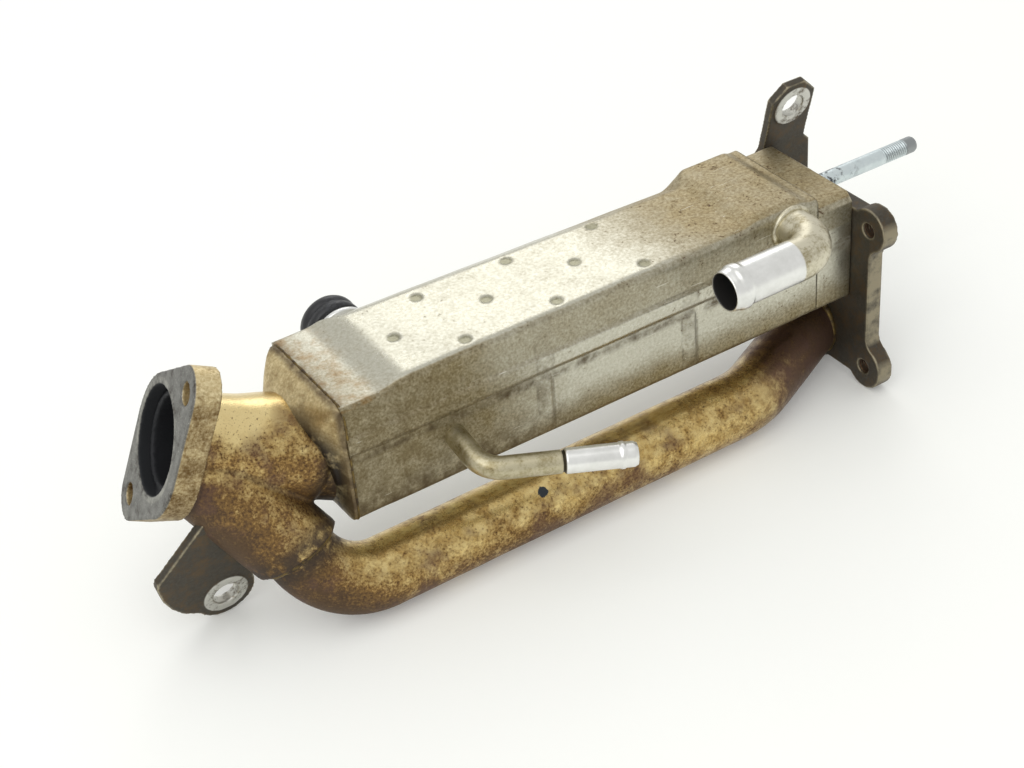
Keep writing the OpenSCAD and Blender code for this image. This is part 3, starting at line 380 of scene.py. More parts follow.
def oxidised_steel(t, p):
    """Thick steel plate with black scale and light rust: dark and dull, pale along worn edges, with
    painted light on the outlet flange's front faces, bare and bright on the bolt seats."""
    grain, middle = noises(t, p, (1.2, 4, 0.7), (8, 5, 0.65))
    base = two_tone(t, grain, "#524D43", "#3D3830")
    cover = add(t, "Math", {0: grain, 1: 0.6, 2: middle}, operation="MULTIPLY_ADD")
    rust = add(t, "MapRange", {0: cover, 1: 0.76, 2: 1.0})
    edge = add(t, "Attribute", {}, out="Fac", attribute_name="edge")
    # painted light: the outlet flange's faces that look to the front are paler
    front = add(t, "VectorMath", {0: add(t, "NewGeometry", {}, out="Normal"), 1: (0, -1, 0)}, out="Value",
                operation="DOT_PRODUCT")
    front = add(t, "MapRange", {0: front, 1: 0.8, 2: 0.97, 3: 0, 4: 0.8})
    outlet, near = along(t, p, (240, 0, 0), (1, 0, 0), 0, 2), along(t, p, (0, 38, 0), (0, -1, 0), 0, 2)
    front = together(t, "MULTIPLY", front, outlet, near)
    pale = add(t, "Math", {0: edge, 1: front}, operation="MAXIMUM")
    pale = broken(t, pale, middle, 0.28, 0.52)
    seats = []
    for hole in (UPPER_HOLE, LOWER_HOLE):
        seat = off_axis(t, p, hole, BRACKET_FACE, 9.9, 9.3)
        side = along(t, p, hole, BRACKET_FACE, 0.1, 0.4)
        seat = add(t, "Math", {0: seat, 1: side}, operation="MULTIPLY")
        wall = off_axis(t, p, hole, BRACKET_FACE, 6.1, 5.7)
        seat = add(t, "Math", {0: seat, 1: wall}, operation="MAXIMUM")
        seats.append(add(t, "Math", {0: seat, 1: spot(t, p, hole, 11, 12)}, operation="MULTIPLY"))
    bright = broken(t, together(t, "MAXIMUM", *seats), cover, 1.0, 0.8)
    base = coats(t, base, (rust, 1, "#5C4B34"), (pale, 1, "#9F967F"), (bright, 1, "#C9C8C0"))
    bare = add(t, "Math", {0: bright, 1: pale}, operation="MAXIMUM")
    metallic = add(t, "MapRange", {0: bare, 3: 0.55, 4: 1})
    rough = add(t, "MapRange", {0: bare, 3: 0.56, 4: 0.4})
    close(t, base, metallic, rough, cover, 0.12)


def pipe_stainless(t, p):
    """Drawn stainless pipe: dull and tan where it was brazed, polished bright on the hose ends, with painted
    shade in the bores and in the vent's groove.
    """
    grain, middle = noises(t, p, (1.1, 4, 0.7), (7, 5, 0.6))
    low = along(t, p, (0, 0, -25), (0, 0, -1), 0, 1)
    tan = add(t, "Mix", {0: low, 6: "#D6D0BA", 7: "#C0B89C"}, out=2, data_type="RGBA")
    cover = add(t, "Math", {0: grain, 1: 0.6, 2: middle}, operation="MULTIPLY_ADD")
    film = add(t, "MapRange", {0: cover, 1: 0.74, 2: 1.02})
    darkening = add(t, "MapRange", {0: cover, 1: 1.0, 2: 1.08})
    bright = two_tone(t, middle, "#F4F4F1", "#E0E0DC")
    elbow = along(t, p, (197, 0, 0), (-1, 0, 0), -0.4, 0.6)
    high = along(t, p, (0, 0, -25), (0, 0, 1), 0, 1)
    elbow = add(t, "Math", {0: elbow, 1: high}, operation="MULTIPLY")
    vent = along(t, p, VENT_START, VENT_WAY, 23.4, 23.9)
    vent = add(t, "Math", {0: vent, 1: low}, operation="MULTIPLY")
    # painted shade in the vent's groove
    groove = add(t, "Math", {0: along(t, p, VENT_START, VENT_WAY, 22.2, 22.6), 1: low}, operation="MULTIPLY")
    groove = add(t, "Math", {0: groove, 1: vent}, operation="SUBTRACT", use_clamp=True)
    tan = coats(t, tan, (film, 1, "#948865"), (darkening, 1, "#4E4128"), (groove, 1, "#3A352A"))
    back = along(t, p, (0, 57.8, 0), (0, 1, 0), 0, 0.6)
    end = together(t, "MAXIMUM", elbow, vent, back)
    base = add(t, "Mix", {0: end, 6: tan, 7: bright}, out=2, data_type="RGBA")
    # painted shade inside the elbow's and the vent's bores
    bore_shade = off_axis(t, p, ELBOW_AXIS, (1, 0, 0), 8.1, 7.85)
    bore_shade = add(t, "Math", {0: bore_shade, 1: elbow}, operation="MULTIPLY")
    pin = off_axis(t, p, VENT_START, VENT_WAY, 3.8, 3.5)
    pin = add(t, "Math", {0: pin, 1: vent}, operation="MULTIPLY")
    bore_shade = add(t, "Math", {0: bore_shade, 1: pin}, operation="MAXIMUM")
    base = add(t, "Mix", {0: bore_shade, 6: base, 7: "#3E3C3A"}, out=2, data_type="RGBA")
    rough = add(t, "MapRange", {0: end, 3: 0.4, 4: 0.3})
    metallic = add(t, "MapRange", {0: bore_shade, 3: 1, 4: 0.5})
    rings = add(t, "Mapping", {"Vector": p, "Scale": (3, 0.4, 0.4)})
    lathe = add(t, "TexNoise", {"Vector": rings, "Scale": 1, "Detail": 2})
    close(t, base, metallic, rough, lathe, 0.02)


def zinc_plate(t, p):
    """Zinc plated steel: pale blue grey, with dark grime specks towards the flange, painted shade in the
    thread and on the thin root, and a bare tip.
    """
    broad = add(t, "TexNoise", {"Vector": p, "Scale": 1 / 5, "Detail": 6, "Roughness": 0.7})
    base = add(t, "Mix", {0: broad, 6: "#E4ECEC", 7: "#C0CCCF"}, out=2, data_type="RGBA")
    # painted shade in the thread's valleys and on the thin root by the flange
    root = off_axis(t, p, STUD_START, (1, 0, 0), 3.75, 3.4)
    darkening = specks(t, p, 2.2, 8, 0.98, 1.2, 12)
    near = along(t, p, STUD_START, (-1, 0, 0), -68, -46)
    darkening = add(t, "Math", {0: darkening, 1: near}, operation="MULTIPLY")
    root = add(t, "Math", {0: root, 1: 0.65}, operation="MULTIPLY")
    darkening = add(t, "Math", {0: darkening, 1: root}, operation="MAXIMUM")
    tip = along(t, p, STUD_TIP, (1, 0, 0), -6.6, -5.8)
    base = coats(t, base, (darkening, 1, "#3F4246"), (tip, 0.75, "#7C7C7C"))
    metallic = add(t, "MapRange", {0: darkening, 3: 0.95, 4: 0.4})
    rough = add(t, "MapRange", {0: broad, 1: 0.3, 2: 0.7, 3: 0.3, 4: 0.48})
    close(t, base, metallic, rough, broad, 0.08)


def nitrile_rubber(t, p):
    """Moulded black rubber: dark satin with a faint grey bloom."""
    bloom = specks(t, p, 1.2, 6, 0.95, 1.3, 13)
    base = add(t, "Mix", {0: bloom, 6: "#141518", 7: "#2B2D31"}, out=2, data_type="RGBA")
    rough = add(t, "MapRange", {0: bloom, 3: 0.36, 4: 0.55})
    close(t, base, 0.0, rough, bloom, 0.06, IOR=1.52)


def sooty_stainless(t, p):
    """Gas tubes and plates inside the housing: thin bright sheet under a film of soot."""
    broad = add(t, "TexNoise", {"Vector": p, "Scale": 1 / 8, "Detail": 5, "Roughness": 0.65})
    base = add(t, "Mix", {0: broad, 6: "#4B4843", 7: "#2C2A28"}, out=2, data_type="RGBA")
    metallic = add(t, "MapRange", {0: broad, 1: 0.3, 2: 0.7, 3: 0.7, 4: 0.2})
    close(t, base, metallic, 0.62, broad, 0.1)


def braze_residue(t, p):
    """Run of braze and burnt flux on a joint: rough dark brown with dull metal showing through."""
    broad = add(t, "TexNoise", {"Vector": p, "Scale": 1 / 5, "Detail": 6, "Roughness": 0.7})
    mix = add(t, "MapRange", {0: broad, 1: 0.35, 2: 0.62})
    base = add(t, "Mix", {0: mix, 6: "#85703F", 7: "#3A2C1C"}, out=2, data_type="RGBA")
    metallic = add(t, "MapRange", {0: mix, 3: 0.9, 4: 0.4})
    close(t, base, metallic, 0.5, broad, 0.3)


HOUSING, CAP, TINTED, FLANGE, PLATE, PIPE, ZINC, RUBBER, INNER, BRAZE = [finish_of(paint) for paint in (
    pressed_stainless, browned_stainless, heat_tinted_stainless, machined_flange_steel, oxidised_steel, pipe_stainless,
    zinc_plate, nitrile_rubber, sooty_stainless, braze_residue)]


# Pieces

def piece(name, verts, faces, material, slot, *nodes, closed=True):
    """A smooth mesh piece that rides on the part and stands for the nodes named; the faces of a closed
    form are turned outwards."""
    mesh = bpy.data.meshes.new(name)
    mesh.from_pydata(verts, [], faces)
    if closed:
        shape = bmesh.new()
        shape.from_mesh(mesh)
        bmesh.ops.recalc_face_normals(shape, faces=shape.faces)
        shape.to_mesh(mesh)
        shape.free()
    mesh.polygons.foreach_set("use_smooth", [True] * len(mesh.polygons))
    return place(name, mesh, material, slot, *nodes)


def place(name, mesh, material, slot, *nodes):
    """Puts a finished mesh into the scene with its finish."""
    mesh.materials.clear()
    mesh.materials.append(material)
    piece_object = bpy.data.objects.new(name, mesh)
    scene.collection.objects.link(piece_object)
    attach(piece_object, "root")
    if nodes:
        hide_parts(*nodes)
    return piece_object


def settle(piece_object):
    """Applies a piece's modifiers to its mesh."""
    bpy.context.view_layer.update()
    ready = piece_object.evaluated_get(bpy.context.evaluated_depsgraph_get())
    mesh = bpy.data.meshes.new_from_object(ready)
    piece_object.modifiers.clear()
    piece_object.data = mesh
    return piece_object


def loft(rings, loop=False):
    """Points and faces through closed rings of equal count; the two ends are capped or joined."""
    n = len(rings[0])
    points = [p for ring in rings for p in ring]
    faces = []
    for i in range(len(rings) if loop else len(rings) - 1):
        a, b = i * n, (i + 1) % len(rings) * n
        faces += [(a + j, a + (j + 1) % n, b + (j + 1) % n, b + j) for j in range(n)]
    if not loop:
        faces += [tuple(range(n))[::-1], tuple(range(len(points) - n, len(points)))]
    return points, faces


def course(start, way, moves, gap=2):
    """Points along a bent pipe: a move is a length, or a radius, a turn in degrees and a side."""
    spot_now, way = Vector(start), Vector(way).normalized()
    points = [spot_now.copy()]
    for move in moves:
        if isinstance(move, (int, float)):
            n = max(2, round(move / gap))
            points += [spot_now + way * (move * k / n) for k in range(1, n + 1)]
        else:
            radius, turn, side = move
            side = Vector(side) - way * way.dot(Vector(side))
            side.normalize()
            turn = math.radians(turn)
            n = max(4, round(radius * turn / gap))
            arc = [turn * k / n for k in range(1, n + 1)]
            points += [spot_now + way * (radius * math.sin(a)) + side * (radius * (1 - math.cos(a))) for a in arc]
            way = way * math.cos(turn) + side * math.sin(turn)
        spot_now = points[-1].copy()
    return points


def stations(points, closed=False):
    """Point, two cross directions and distance along a course, with no twist between stations."""
    ways = []
    for k, p in enumerate(points):
        a = points[k - 1] if k or closed else p
        b = points[(k + 1) % len(points)] if closed else points[min(k + 1, len(points) - 1)]
        ways.append((b - a).normalized())
    u = ways[0].orthogonal().normalized()
    rows, far = [], 0
    for k, p in enumerate(points):
        if k:
            u = ways[k - 1].rotation_difference(ways[k]) @ u
            far += (p - points[k - 1]).length
        u = (u - ways[k] * u.dot(ways[k])).normalized()
        rows.append((p, u, ways[k].cross(u), far))
    return rows


def ring(row, radius, sides):
    """Circle of points round a station, in metres; radius is a number or a function of the angle."""
    p, u, v = row[:3]
    points = []
    for k in range(sides):
        a = ROUND * k / sides
        r = radius(a) if callable(radius) else radius
        points.append(at(p + u * (r * math.cos(a)) + v * (r * math.sin(a))))
    return points


def pipe(points, outer, inner, sides=64):
    """Rings of a hollow pipe; outer is a function of the distance and the angle."""
    rows = stations(points)
    rings = [ring(row, lambda a, s=row[3]: outer(s, a), sides) for row in rows]
    return loft(rings + [ring(row, inner, sides) for row in reversed(rows)], loop=True)


def circle(centre, way, radius, n=96):
    """Points of a circle round an axis."""
    u = Vector(way).orthogonal().normalized()
    v = Vector(way).normalized().cross(u)
    turns = [ROUND * k / n for k in range(n)]
    return [Vector(centre) + u * (radius * math.cos(a)) + v * (radius * math.sin(a)) for a in turns]


def bead(name, points, size, material, slot, ripple=0.22, sides=10):
    """Uneven run of weld or braze along a closed course."""
    rings = []
    for row in stations(points, closed=True):
        n = noise.noise(row[0] / 2.5) + 0.6 * noise.noise(row[0] / 0.9)
        rings.append(ring(row, size * (1 + ripple * n), sides))
    return piece(name, *loft(rings, loop=True), material, slot)


def turned(name, start, way, profile, material, slot, *nodes, sides=72):
    """Lathe form round an axis, from a closed profile of distance and radius."""
    way = Vector(way)
    u = way.orthogonal().normalized()
    rows = [(Vector(start) + way * s, u, way.cross(u), s) for s, r in profile]
    rings = [ring(row, r, sides) for row, (s, r) in zip(rows, profile)]
    return piece(name, *loft(rings, loop=True), material, slot, *nodes)


def fused(name, node, voxel, rounds, material, slot, extra=(), own=True):
    """The node's own solid with broken edges and flowed joints, and a mark of how far each point
    stands proud, for wear; extra closed forms are fused in, or stand for the solid where own is off."""
    shape = bmesh.new()
    if own:
        shape.from_mesh(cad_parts[node].data)
        bmesh.ops.remove_doubles(shape, verts=shape.verts, dist=2e-6)
    for points, faces in extra:
        made = [shape.verts.new(p) for p in points]
        added = [shape.faces.new([made[k] for k in face]) for face in faces]
        bmesh.ops.recalc_face_normals(shape, faces=added)
    mesh = bpy.data.meshes.new(name)
    shape.to_mesh(mesh)
    shape.free()
    cast = place(name, mesh, material, slot, node)
    grid = cast.modifiers.new("skin", "REMESH")
    grid.mode = "VOXEL"
    grid.voxel_size = voxel / 1000
    flow = cast.modifiers.new("flow", "SMOOTH")
    flow.factor = 0.5
    flow.iterations = rounds
    settle(cast)
    shape = bmesh.new()
    shape.from_mesh(cast.data)
    edge, dent = shape.verts.layers.float.new("edge"), shape.verts.layers.float.new("dent")
    near = [[e.other_vert(vert) for e in vert.link_edges] for vert in shape.verts]
    proud = []
    for vert, others in zip(shape.verts, near):
        middle = sum((other.co for other in others), Vector()) / len(others)
        proud.append((vert.co - middle).dot(vert.normal) * 1000 / voxel)
        vert[edge] = ease(proud[-1], 0.03, 0.12)
    shape.verts.index_update()
    for _ in range(3):
        proud = [(proud[vert.index] + sum(proud[other.index] for other in others)) / (1 + len(others))
                 for vert, others in zip(shape.verts, near)]
    # how deep each point lies below its neighbours, for painted shade in creases and corners
    for vert in shape.verts:
        vert[dent] = ease(-proud[vert.index], 0.006, 0.03)
    shape.to_mesh(cast.data)
    shape.free()
    cast.data.polygons.foreach_set("use_smooth", [True] * len(cast.data.polygons))
    return cast


def rounded(corners, cuts, spans):
    """Fixed count of points along a bent line with each corner rounded off."""
    corners = [Vector(c) for c in corners]
    points, n = [], len(corners)
    ends = []
    for i in range(n - 1):
        a, b = corners[i], corners[i + 1]
        length = (b - a).length
        ends.append((min(cuts[i], 0.45 * length), min(cuts[i + 1], 0.45 * length)))
    for i in range(n - 1):
        a, b = corners[i], corners[i + 1]
        way = (b - a).normalized()
        first, last = a + way * ends[i][0], b - way * ends[i][1]
        points += [first.lerp(last, k / spans[i]) for k in range(spans[i] + 1)]
        if i < n - 2:
            follow = b + (corners[i + 2] - b).normalized() * ends[i + 1][0]
            points += [last.lerp(b, k / 6).lerp(b.lerp(follow, k / 6), k / 6) for k in range(1, 6)]
    return points


def pressing(name, section, shape_point, material, slot, node, turn):
    """Sheet of the housing: rounded cross sections along its length, then the sheet's thickness."""
    step = 0.8
    count = round(LENGTH / step)
    rows = []
    for i in range(count + 1):
        x = LENGTH * i / count
        rows.append([at(shape_point(Vector((x, y, z)))) for y, z in section(x)])
    n = len(rows[0])
    verts = [p for row in rows for p in row]
    faces = []
    for i in range(count):
        for j in range(n - 1):
            quad = (i * n + j, (i + 1) * n + j, (i + 1) * n + j + 1, i * n + j + 1)
            faces.append(quad[::-1] if turn else quad)
    sheet = piece(name, verts, faces, material, slot, node, closed=False)
    thick = sheet.modifiers.new("sheet", "SOLIDIFY")
    thick.thickness = SHEET / 1000
    thick.offset = -1
    return settle(sheet)


def upper_section(x):
    """Cross section of the upper half: lap, front wall, top with its slope to the back, wall and lap."""
    tank = ease(x, *TANK_RAMP)
    h = TOP_RISE * ease(x, *TOP_RAMP) + TANK_RISE * (tank - ease(x, *TANK_END))
    sloped = ease(x, 19, 30) * (1 - tank)
    front_z = min(0.5, h - 0.6)
    back_z = (1 - sloped) * front_z + sloped * min(front_z, -4 * (x - 19.5) / 167.5)
    back_run = (h - back_z) * ((1 - sloped) / 1.5 + sloped / 0.57)
    corners = [(-SHEET, -21.5), (-SHEET, -14.6), (0, -13.2), (0, h), (WIDTH - back_run, h),
               (WIDTH, back_z), (WIDTH, -24.2), (WIDTH + SHEET, -25.6), (WIDTH + SHEET, -32.5)]
    return rounded(corners, [0, 0.7, 0.7, 1.5 + 0.8 * h, 2.4, 1.6, 0.7, 0.7, 0], [3, 1, 9, 46, 9, 12, 1, 3])


DIMPLES = [(58.5 + 42.4 * (k - (0.5 if row == 1 else 0)), WIDTH / 2 - 3.3 + (row - 1) * 18.7)
           for row in range(3) for k in range(3)]


def dimple(p):
    """1 in the floor of a dimple in the top, 0 outside."""
    return max(1 - ease(math.hypot(p.x - x, p.y - y), 2.1, 3.3) for x, y in DIMPLES)


def upper_point(p):
    """Dimples and slight waves in the upper half."""
    if p.z > -5:
        p.z -= 0.42 * dimple(p)
    inner = ease(min(p.x, LENGTH - p.x), 0, 12)
    p.z += 0.22 * inner * noise.noise(Vector((p.x / 26, p.y / 20, 0.3)))
    p.y += 0.15 * inner * noise.noise(Vector((p.x / 30, 4.1, p.z / 16)))
    return p


def lower_section(x):
    """Cross section of the lower half: walls and a stepped floor."""
    drop = 1.3 * (ease(x, 13.5, 18.5) - ease(x, 218, 223))
    f, c = -HEIGHT, 2.5
    corners = [(0, -16.4), (0, f + c), (c + drop, f - drop), (WIDTH - c - drop, f - drop), (WIDTH, f + c),
               (WIDTH, -27.4)]
    return rounded(corners, [0, 1.6, 1.6, 1.6, 1.6, 0], [26, 3, 30, 3, 22])


def lower_point(p):
    """Ribs in both walls of the lower half, and slight waves."""
    for wall, way, top in ((0, -1, -22.5), (WIDTH, 1, -33.5)):
        if abs(p.y - wall) < 0.3:
            for x in RIBS:
                rise = 1 - ease(abs(p.x - x), 1.6, 3.6)
                p.y += way * 1.2 * rise * ease(-p.z, -top, -top + 3) * ease(p.z, -51, -47)
    p.y += 0.2 * noise.noise(Vector((p.x / 24, p.y / 30 + 2.2, p.z / 15))) * ease(min(p.x, LENGTH - p.x), 0, 10)
    return p


upper_sheet = pressing("upper_pressing", upper_section, upper_point, HOUSING, "shell_steel", "upper_shell", False)
sheet_points = [from_corner(vert.co) for vert in upper_sheet.data.vertices]
# dimple floors, marked for painted shade in the dimples
hollow_shade = [dimple(p) if p.z > 0.5 else 0 for p in sheet_points]
upper_sheet.data.attributes.new("dent", "FLOAT", "POINT").data.foreach_set("value", hollow_shade)
pressing("lower_pressing", lower_section, lower_point, HOUSING, "shell_steel", "lower_shell", True)


def cap_ring(x, inset, radius, share, sides=240):
    """Ring of the inlet cap: share 0 is the housing's outline set in, share 1 is a circle. The dome
    stands tall at the top and the back and lies nearly flat at the lower front."""
    points = []
    for k in range(sides):
        a = ROUND * k / sides
        c, s = math.cos(a), math.sin(a)
        box = ((abs(c) / (29.15 - inset)) ** 12 + (abs(s) / (27.5 - inset)) ** 12) ** (-1 / 12)
        r = (1 - share) * box + share * radius
        tall = 0.26 + 0.74 * ease(0.75 * r * s + 0.6 * r * c, -22, 20)
        out = x if x > -1 else -1 + (x + 1) * tall
        points.append(at((out, 28.75 - 1.2 * share + r * c, -27.1 - 3.6 * share + r * s)))
    return points


CAP_RINGS = [
    (0.4, 0, 23, 0), (-0.6, 0, 23, 0), (-1.4, 0.1, 23, 0), (-2.4, 0.5, 23, 0.02), (-4, 1.0, 23, 0.08),
    (-6, 1.8, 23, 0.2), (-8.2, 2.7, 23, 0.38), (-10.4, 3.8, 23, 0.64), (-12, 4.6, 23, 0.88), (-12.7, 5, 22.4, 1),
    (-13, 5, 21, 1), (-13, 5, 18.5, 1), (-11.5, 5, 18.5, 1), (-10.5, 5, 21, 1), (-7, 4.5, 21, 0.4),
    (-1.2, 2.4, 21, 0), (0.4, 1.9, 21, 0)]
piece("inlet_cap_drawing", *loft([cap_ring(*row) for row in CAP_RINGS], loop=True), CAP, "cap_steel",
      "inlet_end_cap")
fused("outlet_cap_box", "outlet_end_cap", 0.7, 8, HOUSING, "cap_steel")


# the branch leaves the neck close behind the flange
BRANCH_WAY = (SOCKET - Vector((-50, 33.3, -20.7))).normalized()


def neck_form():
    """Neck from the flange to the inlet cap, swelling to a rounded shoulder, with its bore."""
    profile = [(50, 19.4), (40, 19.4), (30, 19.4), (24, 19.6), (20, 20.1), (15, 20.9), (9, 21.5), (2, 21.8),
               (-4, 21.8), (-7, 21.4), (-8.6, 20.4), (-9.2, 19.3), (-23, 19.3), (-23, 17), (0, 17), (50, 17)]
    u = INLET_AXIS.cross(Vector((0, 0, 1))).normalized()
    v = INLET_AXIS.cross(u)
    rings = [ring((NECK_END + s * INLET_AXIS, u, v, s), r, 96) for s, r in profile]
    stop = at((1, 0, 0)).x
    return loft([[Vector((min(p.x, stop), p.y, p.z)) for p in points] for points in rings], loop=True)


def branch_ring(radius, reach, share, sides=96):
    """Ring of the branch: share 1 lies in the socket's mouth, share 0 where the branch meets the neck."""
    u = BRANCH.orthogonal().normalized()
    v = BRANCH.cross(u)
    flat = BRANCH_WAY - INLET_AXIS * BRANCH_WAY.dot(INLET_AXIS)
    points = []
    for k in range(sides):
        a = ROUND * k / sides
        end = SOCKET + u * (radius * math.cos(a)) + v * (radius * math.sin(a))
        off = end - INLET_FACE
        level = off.dot(INLET_AXIS)
        off -= INLET_AXIS * level
        half, square = off.dot(flat), flat.dot(flat)
        rest = max(0, half * half - square * (off.dot(off) - reach * reach))
        far = (half - math.sqrt(rest)) / square
        far = min(far, (-FLANGE_T + 2 - level) / -BRANCH_WAY.dot(INLET_AXIS))
        points.append(at(end - BRANCH_WAY * (far * (1 - share))))
    return points


def branch_form():
    """Branch down to the bypass tube, saddled on the neck."""
    shares = [k / 12 for k in range(13)]
    outer = [branch_ring(18.3, 18.2, share) for share in shares]
    inner = [branch_ring(14.6, 18.2, share) for share in shares[::-1]]
    return loft(outer + inner, loop=True)


def flange_fillet():
    """Fillet behind the inlet flange, fat on the side of the branch."""
    side = (BRANCH_WAY - INLET_AXIS * BRANCH_WAY.dot(INLET_AXIS)).normalized()
    centre = INLET_FACE - (FLANGE_T + 0.6) * INLET_AXIS
    course_points, sizes = [], []
    for point in circle(centre, INLET_AXIS, 1):
        lean = max(0, (point - centre).dot(side)) ** 2
        course_points.append(centre + (point - centre) * (20.4 + 3.4 * lean) + INLET_AXIS * (3.6 * lean))
        sizes.append(1.4 + 4.2 * lean)
    rings = [ring(row, size, 14) for row, size in zip(stations(course_points, closed=True), sizes)]
    return loft(rings, loop=True)


fused("inlet_manifold_casting", "inlet_manifold", 0.8, 6, TINTED, "heat_tinted_steel",
      [neck_form(), branch_form(), flange_fillet()], own=False)
fused("inlet_flange_plate", "inlet_flange", 0.6, 5, FLANGE, "flange_steel")
for node, voxel in (("outlet_flange", 0.6), ("upper_bracket", 0.5), ("lower_bracket", 0.5)):
    fused(node + "_plate", node, voxel, 5, PLATE, "dark_steel")

# bypass tube: a bend out of the socket, the run under the housing, a bend and a leg into the outlet flange
BYPASS_LEAN = math.radians(6.5)
bypass_course = course(SOCKET - 2 * BRANCH, BRANCH, [
    2, (32, 73, (1, 0, 0)), 172, (45, 25, (0, math.cos(BYPASS_LEAN), math.sin(BYPASS_LEAN))), 64])


def bypass_radius(s, a):
    """Drawn tube with slight dents and flats from bending."""
    return 14.5 + 0.14 * noise.noise(Vector((s / 16, 1.7 * math.cos(a), 1.7 * math.sin(a))))


tube_points, tube_faces = pipe(bypass_course, bypass_radius, 13, 80)
tube_end = at((PORT.x + 0.4, 0, 0)).x
tube_points = [Vector((min(p.x, tube_end), p.y, p.z)) for p in tube_points]
tube = piece("bypass_tube_bent", tube_points, tube_faces, TINTED, "heat_tinted_steel", "bypass_tube")
half = len(tube_points) // 2
tube.data.attributes.new("soot", "FLOAT", "POINT").data.foreach_set("value", [0] * half + [1] * half)

# coolant elbow with a beaded hose end
ELBOW_LEG, ELBOW_BEND, ELBOW_RUN, ELBOW_HOSE = 10.9, 14, 28, 9
elbow_course = course(ELBOW_ROOT, (0, -1, 0), [
    ELBOW_LEG, (ELBOW_BEND, 90, (-1, 0, 0)), ELBOW_RUN, ELBOW_HOSE], gap=0.6)
ELBOW_END = ELBOW_LEG + ELBOW_BEND * math.pi / 2 + ELBOW_RUN + ELBOW_HOSE


def elbow_radius(s, _):
    """Pipe with a bead near its end, the same all round."""
    e = ELBOW_END - s
    bead_rise = 0.7 * ease(e, 3, 5) * (1 - ease(e, 7, 9))
    return 9 + bead_rise - 0.6 * (1 - ease(e, 0, 3.2))


piece("coolant_elbow_pipe", *pipe(elbow_course, elbow_radius, 7.8, 72), PIPE, "pipe_steel", "coolant_elbow")

# vent pipe: a leg out of the wall, a tight bend and a run with a swaged and beaded hose end
VENT_TURN, VENT_LEG, VENT_BEND, VENT_RUN, VENT_BRIGHT = 67, 15.1, 12, 52.2, 29
vent_back = course(VENT_START, -VENT_WAY, [(VENT_BEND, VENT_TURN, VENT_SIDE), VENT_LEG], gap=0.8)
VENT_ROOT_L = VENT_BEND * math.radians(VENT_TURN) + VENT_LEG
vent_course = vent_back[::-1] + course(VENT_START, VENT_WAY, [VENT_RUN - VENT_BRIGHT, VENT_BRIGHT], gap=0.4)[1:]


def vent_radius(s, _):
    """Pipe with a groove, a swaged hose end and a bead, the same all round."""
    e = VENT_ROOT_L + VENT_RUN - s
    groove = 0.5 * (1 - ease(abs(e - VENT_BRIGHT - 0.3), 0.3, 0.9))
    rise = 0.4 * ease(e, 4.6, 5.4) * (1 - ease(e, 6.4, 7.4))
    return 4.7 + 0.4 * (1 - ease(e, VENT_BRIGHT - 0.7, VENT_BRIGHT)) - groove + rise - 0.6 * (1 - ease(e, 0, 1.4))


piece("vent_pipe_bent", *pipe(vent_course, vent_radius, 3.5, 56), PIPE, "pipe_steel", "vent_pipe")

# stud: a plain root, a long plain shank, an M8 thread cut as a helix, and a plain tip
STUD_STEP, THREAD_FROM, THREAD_TO = 0.125, 78, 92
stud_rows = stations([STUD_START + Vector((STUD_STEP * k, 0, 0)) for k in range(int(STUD_L / STUD_STEP) + 1)])


def stud_radius(s, a):
    """Stud with its thread, as a wave that turns with the angle."""
    tip = ease(s, STUD_L - 1.1, STUD_L)
    cut = ease(s, THREAD_FROM - 1, THREAD_FROM + 1) - ease(s, THREAD_TO - 0.5, THREAD_TO + 0.5)
    wave = abs(2 * ((s / PITCH - a / ROUND) % 1) - 1)
    return 3.4 + 0.6 * ease(s, 7.9, 8.1) - cut * 0.62 * wave - tip * 0.5


stud_rings = [ring(row, lambda a, s=row[3]: stud_radius(s, a), 36) for row in stud_rows]
piece("flange_stud_thread", *loft(stud_rings), ZINC, "zinc_plated_steel", "flange_stud")

# threads of the two tapped ears
TURNS, THREAD_ROOT, THREAD_CREST, THREAD_BACK = 5, 3.5, 2.95, 3.7
thread_profile = [(0.3, THREAD_BACK)]
for k in range(TURNS):
    thread_profile += [(0.4 + PITCH * k, THREAD_ROOT), (0.4 + PITCH * (k + 0.5), THREAD_CREST)]
thread_profile += [(0.4 + PITCH * TURNS, THREAD_ROOT), (0.5 + PITCH * TURNS, THREAD_BACK)]
for name, ear in TAPPED_EARS.items():
    turned("tapped_thread_" + name, ear, (1, 0, 0), thread_profile, TINTED, "heat_tinted_steel")

# rear coolant stub and its ribbed seal
STUB = Vector((31.2, WIDTH, -12))
turned("rear_stub_pipe", STUB, (0, 1, 0), [
    (-2.5, 8.3), (-2.5, 9.5), (-0.1, 9.5), (0, 12.9), (0.3, 13.2), (1.9, 13.2), (2.3, 12.9), (2.5, 12.2), (2.5, 9.7),
    (2.8, 9.5), (13.8, 9.5), (14.5, 9.3), (15, 8.9), (15, 8.3), (14.8, 8.3)], PIPE, "pipe_steel", "rear_stub")
seal_profile = [(5.5, 9.5), (5.5, 11.8)]
for k in range(2):
    start = 5.5 + 5 * k
    seal_profile += [(start + 0.5, 12.2), (start + 1.3, 12.6), (start + 2.4, 12.7), (start + 3.5, 12.6),
                     (start + 4.4, 12.2), (start + 4.9, 12.0)]
seal_profile += [(15.5, 11.6), (15.5, 9.5)]
turned("stub_seal_ribbed", STUB, (0, 1, 0), seal_profile, RUBBER, "black_rubber", "stub_seal")

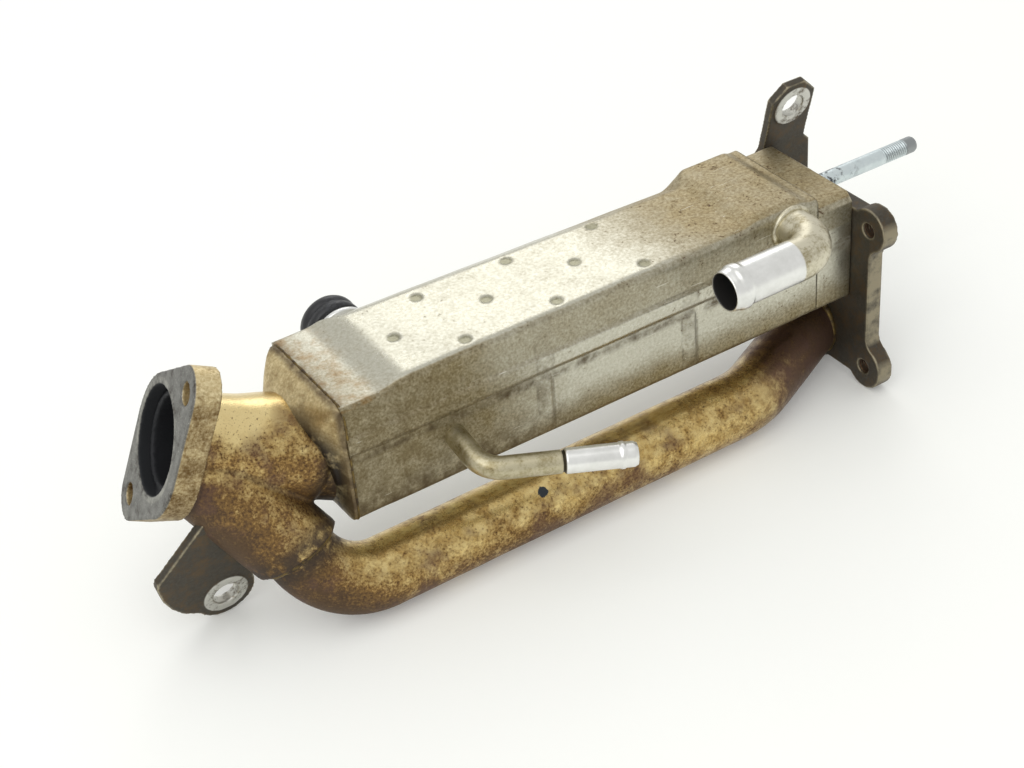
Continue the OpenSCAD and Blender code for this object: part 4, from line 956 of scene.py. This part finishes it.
# weld and braze runs on the joints
bead("socket_braze", circle(SOCKET + 0.6 * BRANCH, BRANCH, 15.0), 1.2, BRAZE, "heat_tinted_steel")
bead("tube_outlet_weld", circle(PORT - Vector((0.8, 0.35, 0)), (1, 0, 0), 14.9), 1.5, BRAZE, "heat_tinted_steel")
bead("elbow_root_braze", circle(ELBOW_ROOT - Vector((0, 4.5, 0)), (0, 1, 0), 9.2), 1.3, PIPE, "pipe_steel")
seam_loop = [from_corner(p) for p in cap_ring(0.5, 0.15, 0, 0)]
bead("inlet_seam_braze", seam_loop, 0.5, BRAZE, "cap_steel", ripple=0.5, sides=8)

# inner pieces keep their solids
for name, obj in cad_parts.items():
    if name.startswith(("gas_tube", "turbulator")) or name.endswith("tube_plate"):
        obj.data.materials.clear()
        obj.data.materials.append(INNER)

# Floor, light and camera

floor_mesh = bpy.data.meshes.new("floor")
floor_height = at((0, 0, FLOOR_Z)).z - 0.0002
floor_mesh.from_pydata([(x * FLOOR_HALF, y * FLOOR_HALF, floor_height)
                        for x, y in ((-1, -1), (1, -1), (1, 1), (-1, 1))], [], [(0, 1, 2, 3)])
floor = bpy.data.objects.new("floor", floor_mesh)
scene.collection.objects.link(floor)
# matt white paper: lifted to white for the eye and for gloss, and still shaded by the part
paper = bpy.data.materials.new("white_paper")
paper.use_nodes = True
tree = paper.node_tree
tree.nodes.clear()
seen = add(tree, "LightPath", {}, out="Is Camera Ray")
for kind in ("Is Glossy Ray", "Is Transmission Ray"):
    seen = add(tree, "Math", {0: seen, 1: add(tree, "LightPath", {}, out=kind)}, operation="MAXIMUM")
lift = add(tree, "Math", {0: seen, 1: 0.13}, operation="MULTIPLY")
glow = add(tree, "Emission", {"Color": "#FFFFFF", "Strength": lift})
matt = add(tree, "BsdfDiffuse", {"Color": "#F1F2EE"})
tree.links.new(add(tree, "AddShader", {0: matt, 1: glow}), tree.nodes.new("ShaderNodeOutputMaterial").inputs[0])
floor_mesh.materials.append(paper)

world = bpy.data.worlds.new("studio")
scene.world = world
world.use_nodes = True
sky = world.node_tree
sky.nodes["Background"].inputs["Color"].default_value = colour("#FBFBFA")
sky.nodes["Background"].inputs["Strength"].default_value = 0.8


def lamp(name, way, far, size, power):
    """Square soft light at a distance along a way from the middle of the part, facing it."""
    light = bpy.data.lights.new(name, "AREA")
    light.size = size
    light.energy = power
    lamp_object = bpy.data.objects.new(name, light)
    way = Vector(way).normalized()
    lamp_object.location = at(MIDDLE) + way * far
    lamp_object.rotation_euler = way.to_track_quat("Z", "Y").to_euler()
    scene.collection.objects.link(lamp_object)


lamp("window_behind", (0.43, 0.72, 0.54), 1.6, 0.7, 2.2)
lamp("overhead", (-0.4, -0.1, 1), 1.8, 1.6, 7)
lamp("front_left", (-0.8, -0.5, 0.7), 1.9, 1.0, 4.5)

lens = bpy.data.cameras.new("photo_view")
lens.sensor_width = 36
lens.lens = 67.5365
camera = bpy.data.objects.new("photo_view", lens)
camera.location = (-0.483534, -0.558525, 0.446927)
camera.rotation_euler = Euler([math.radians(a) for a in (54.005321, 4.313618, -32.805020)])
scene.collection.objects.link(camera)
scene.camera = camera
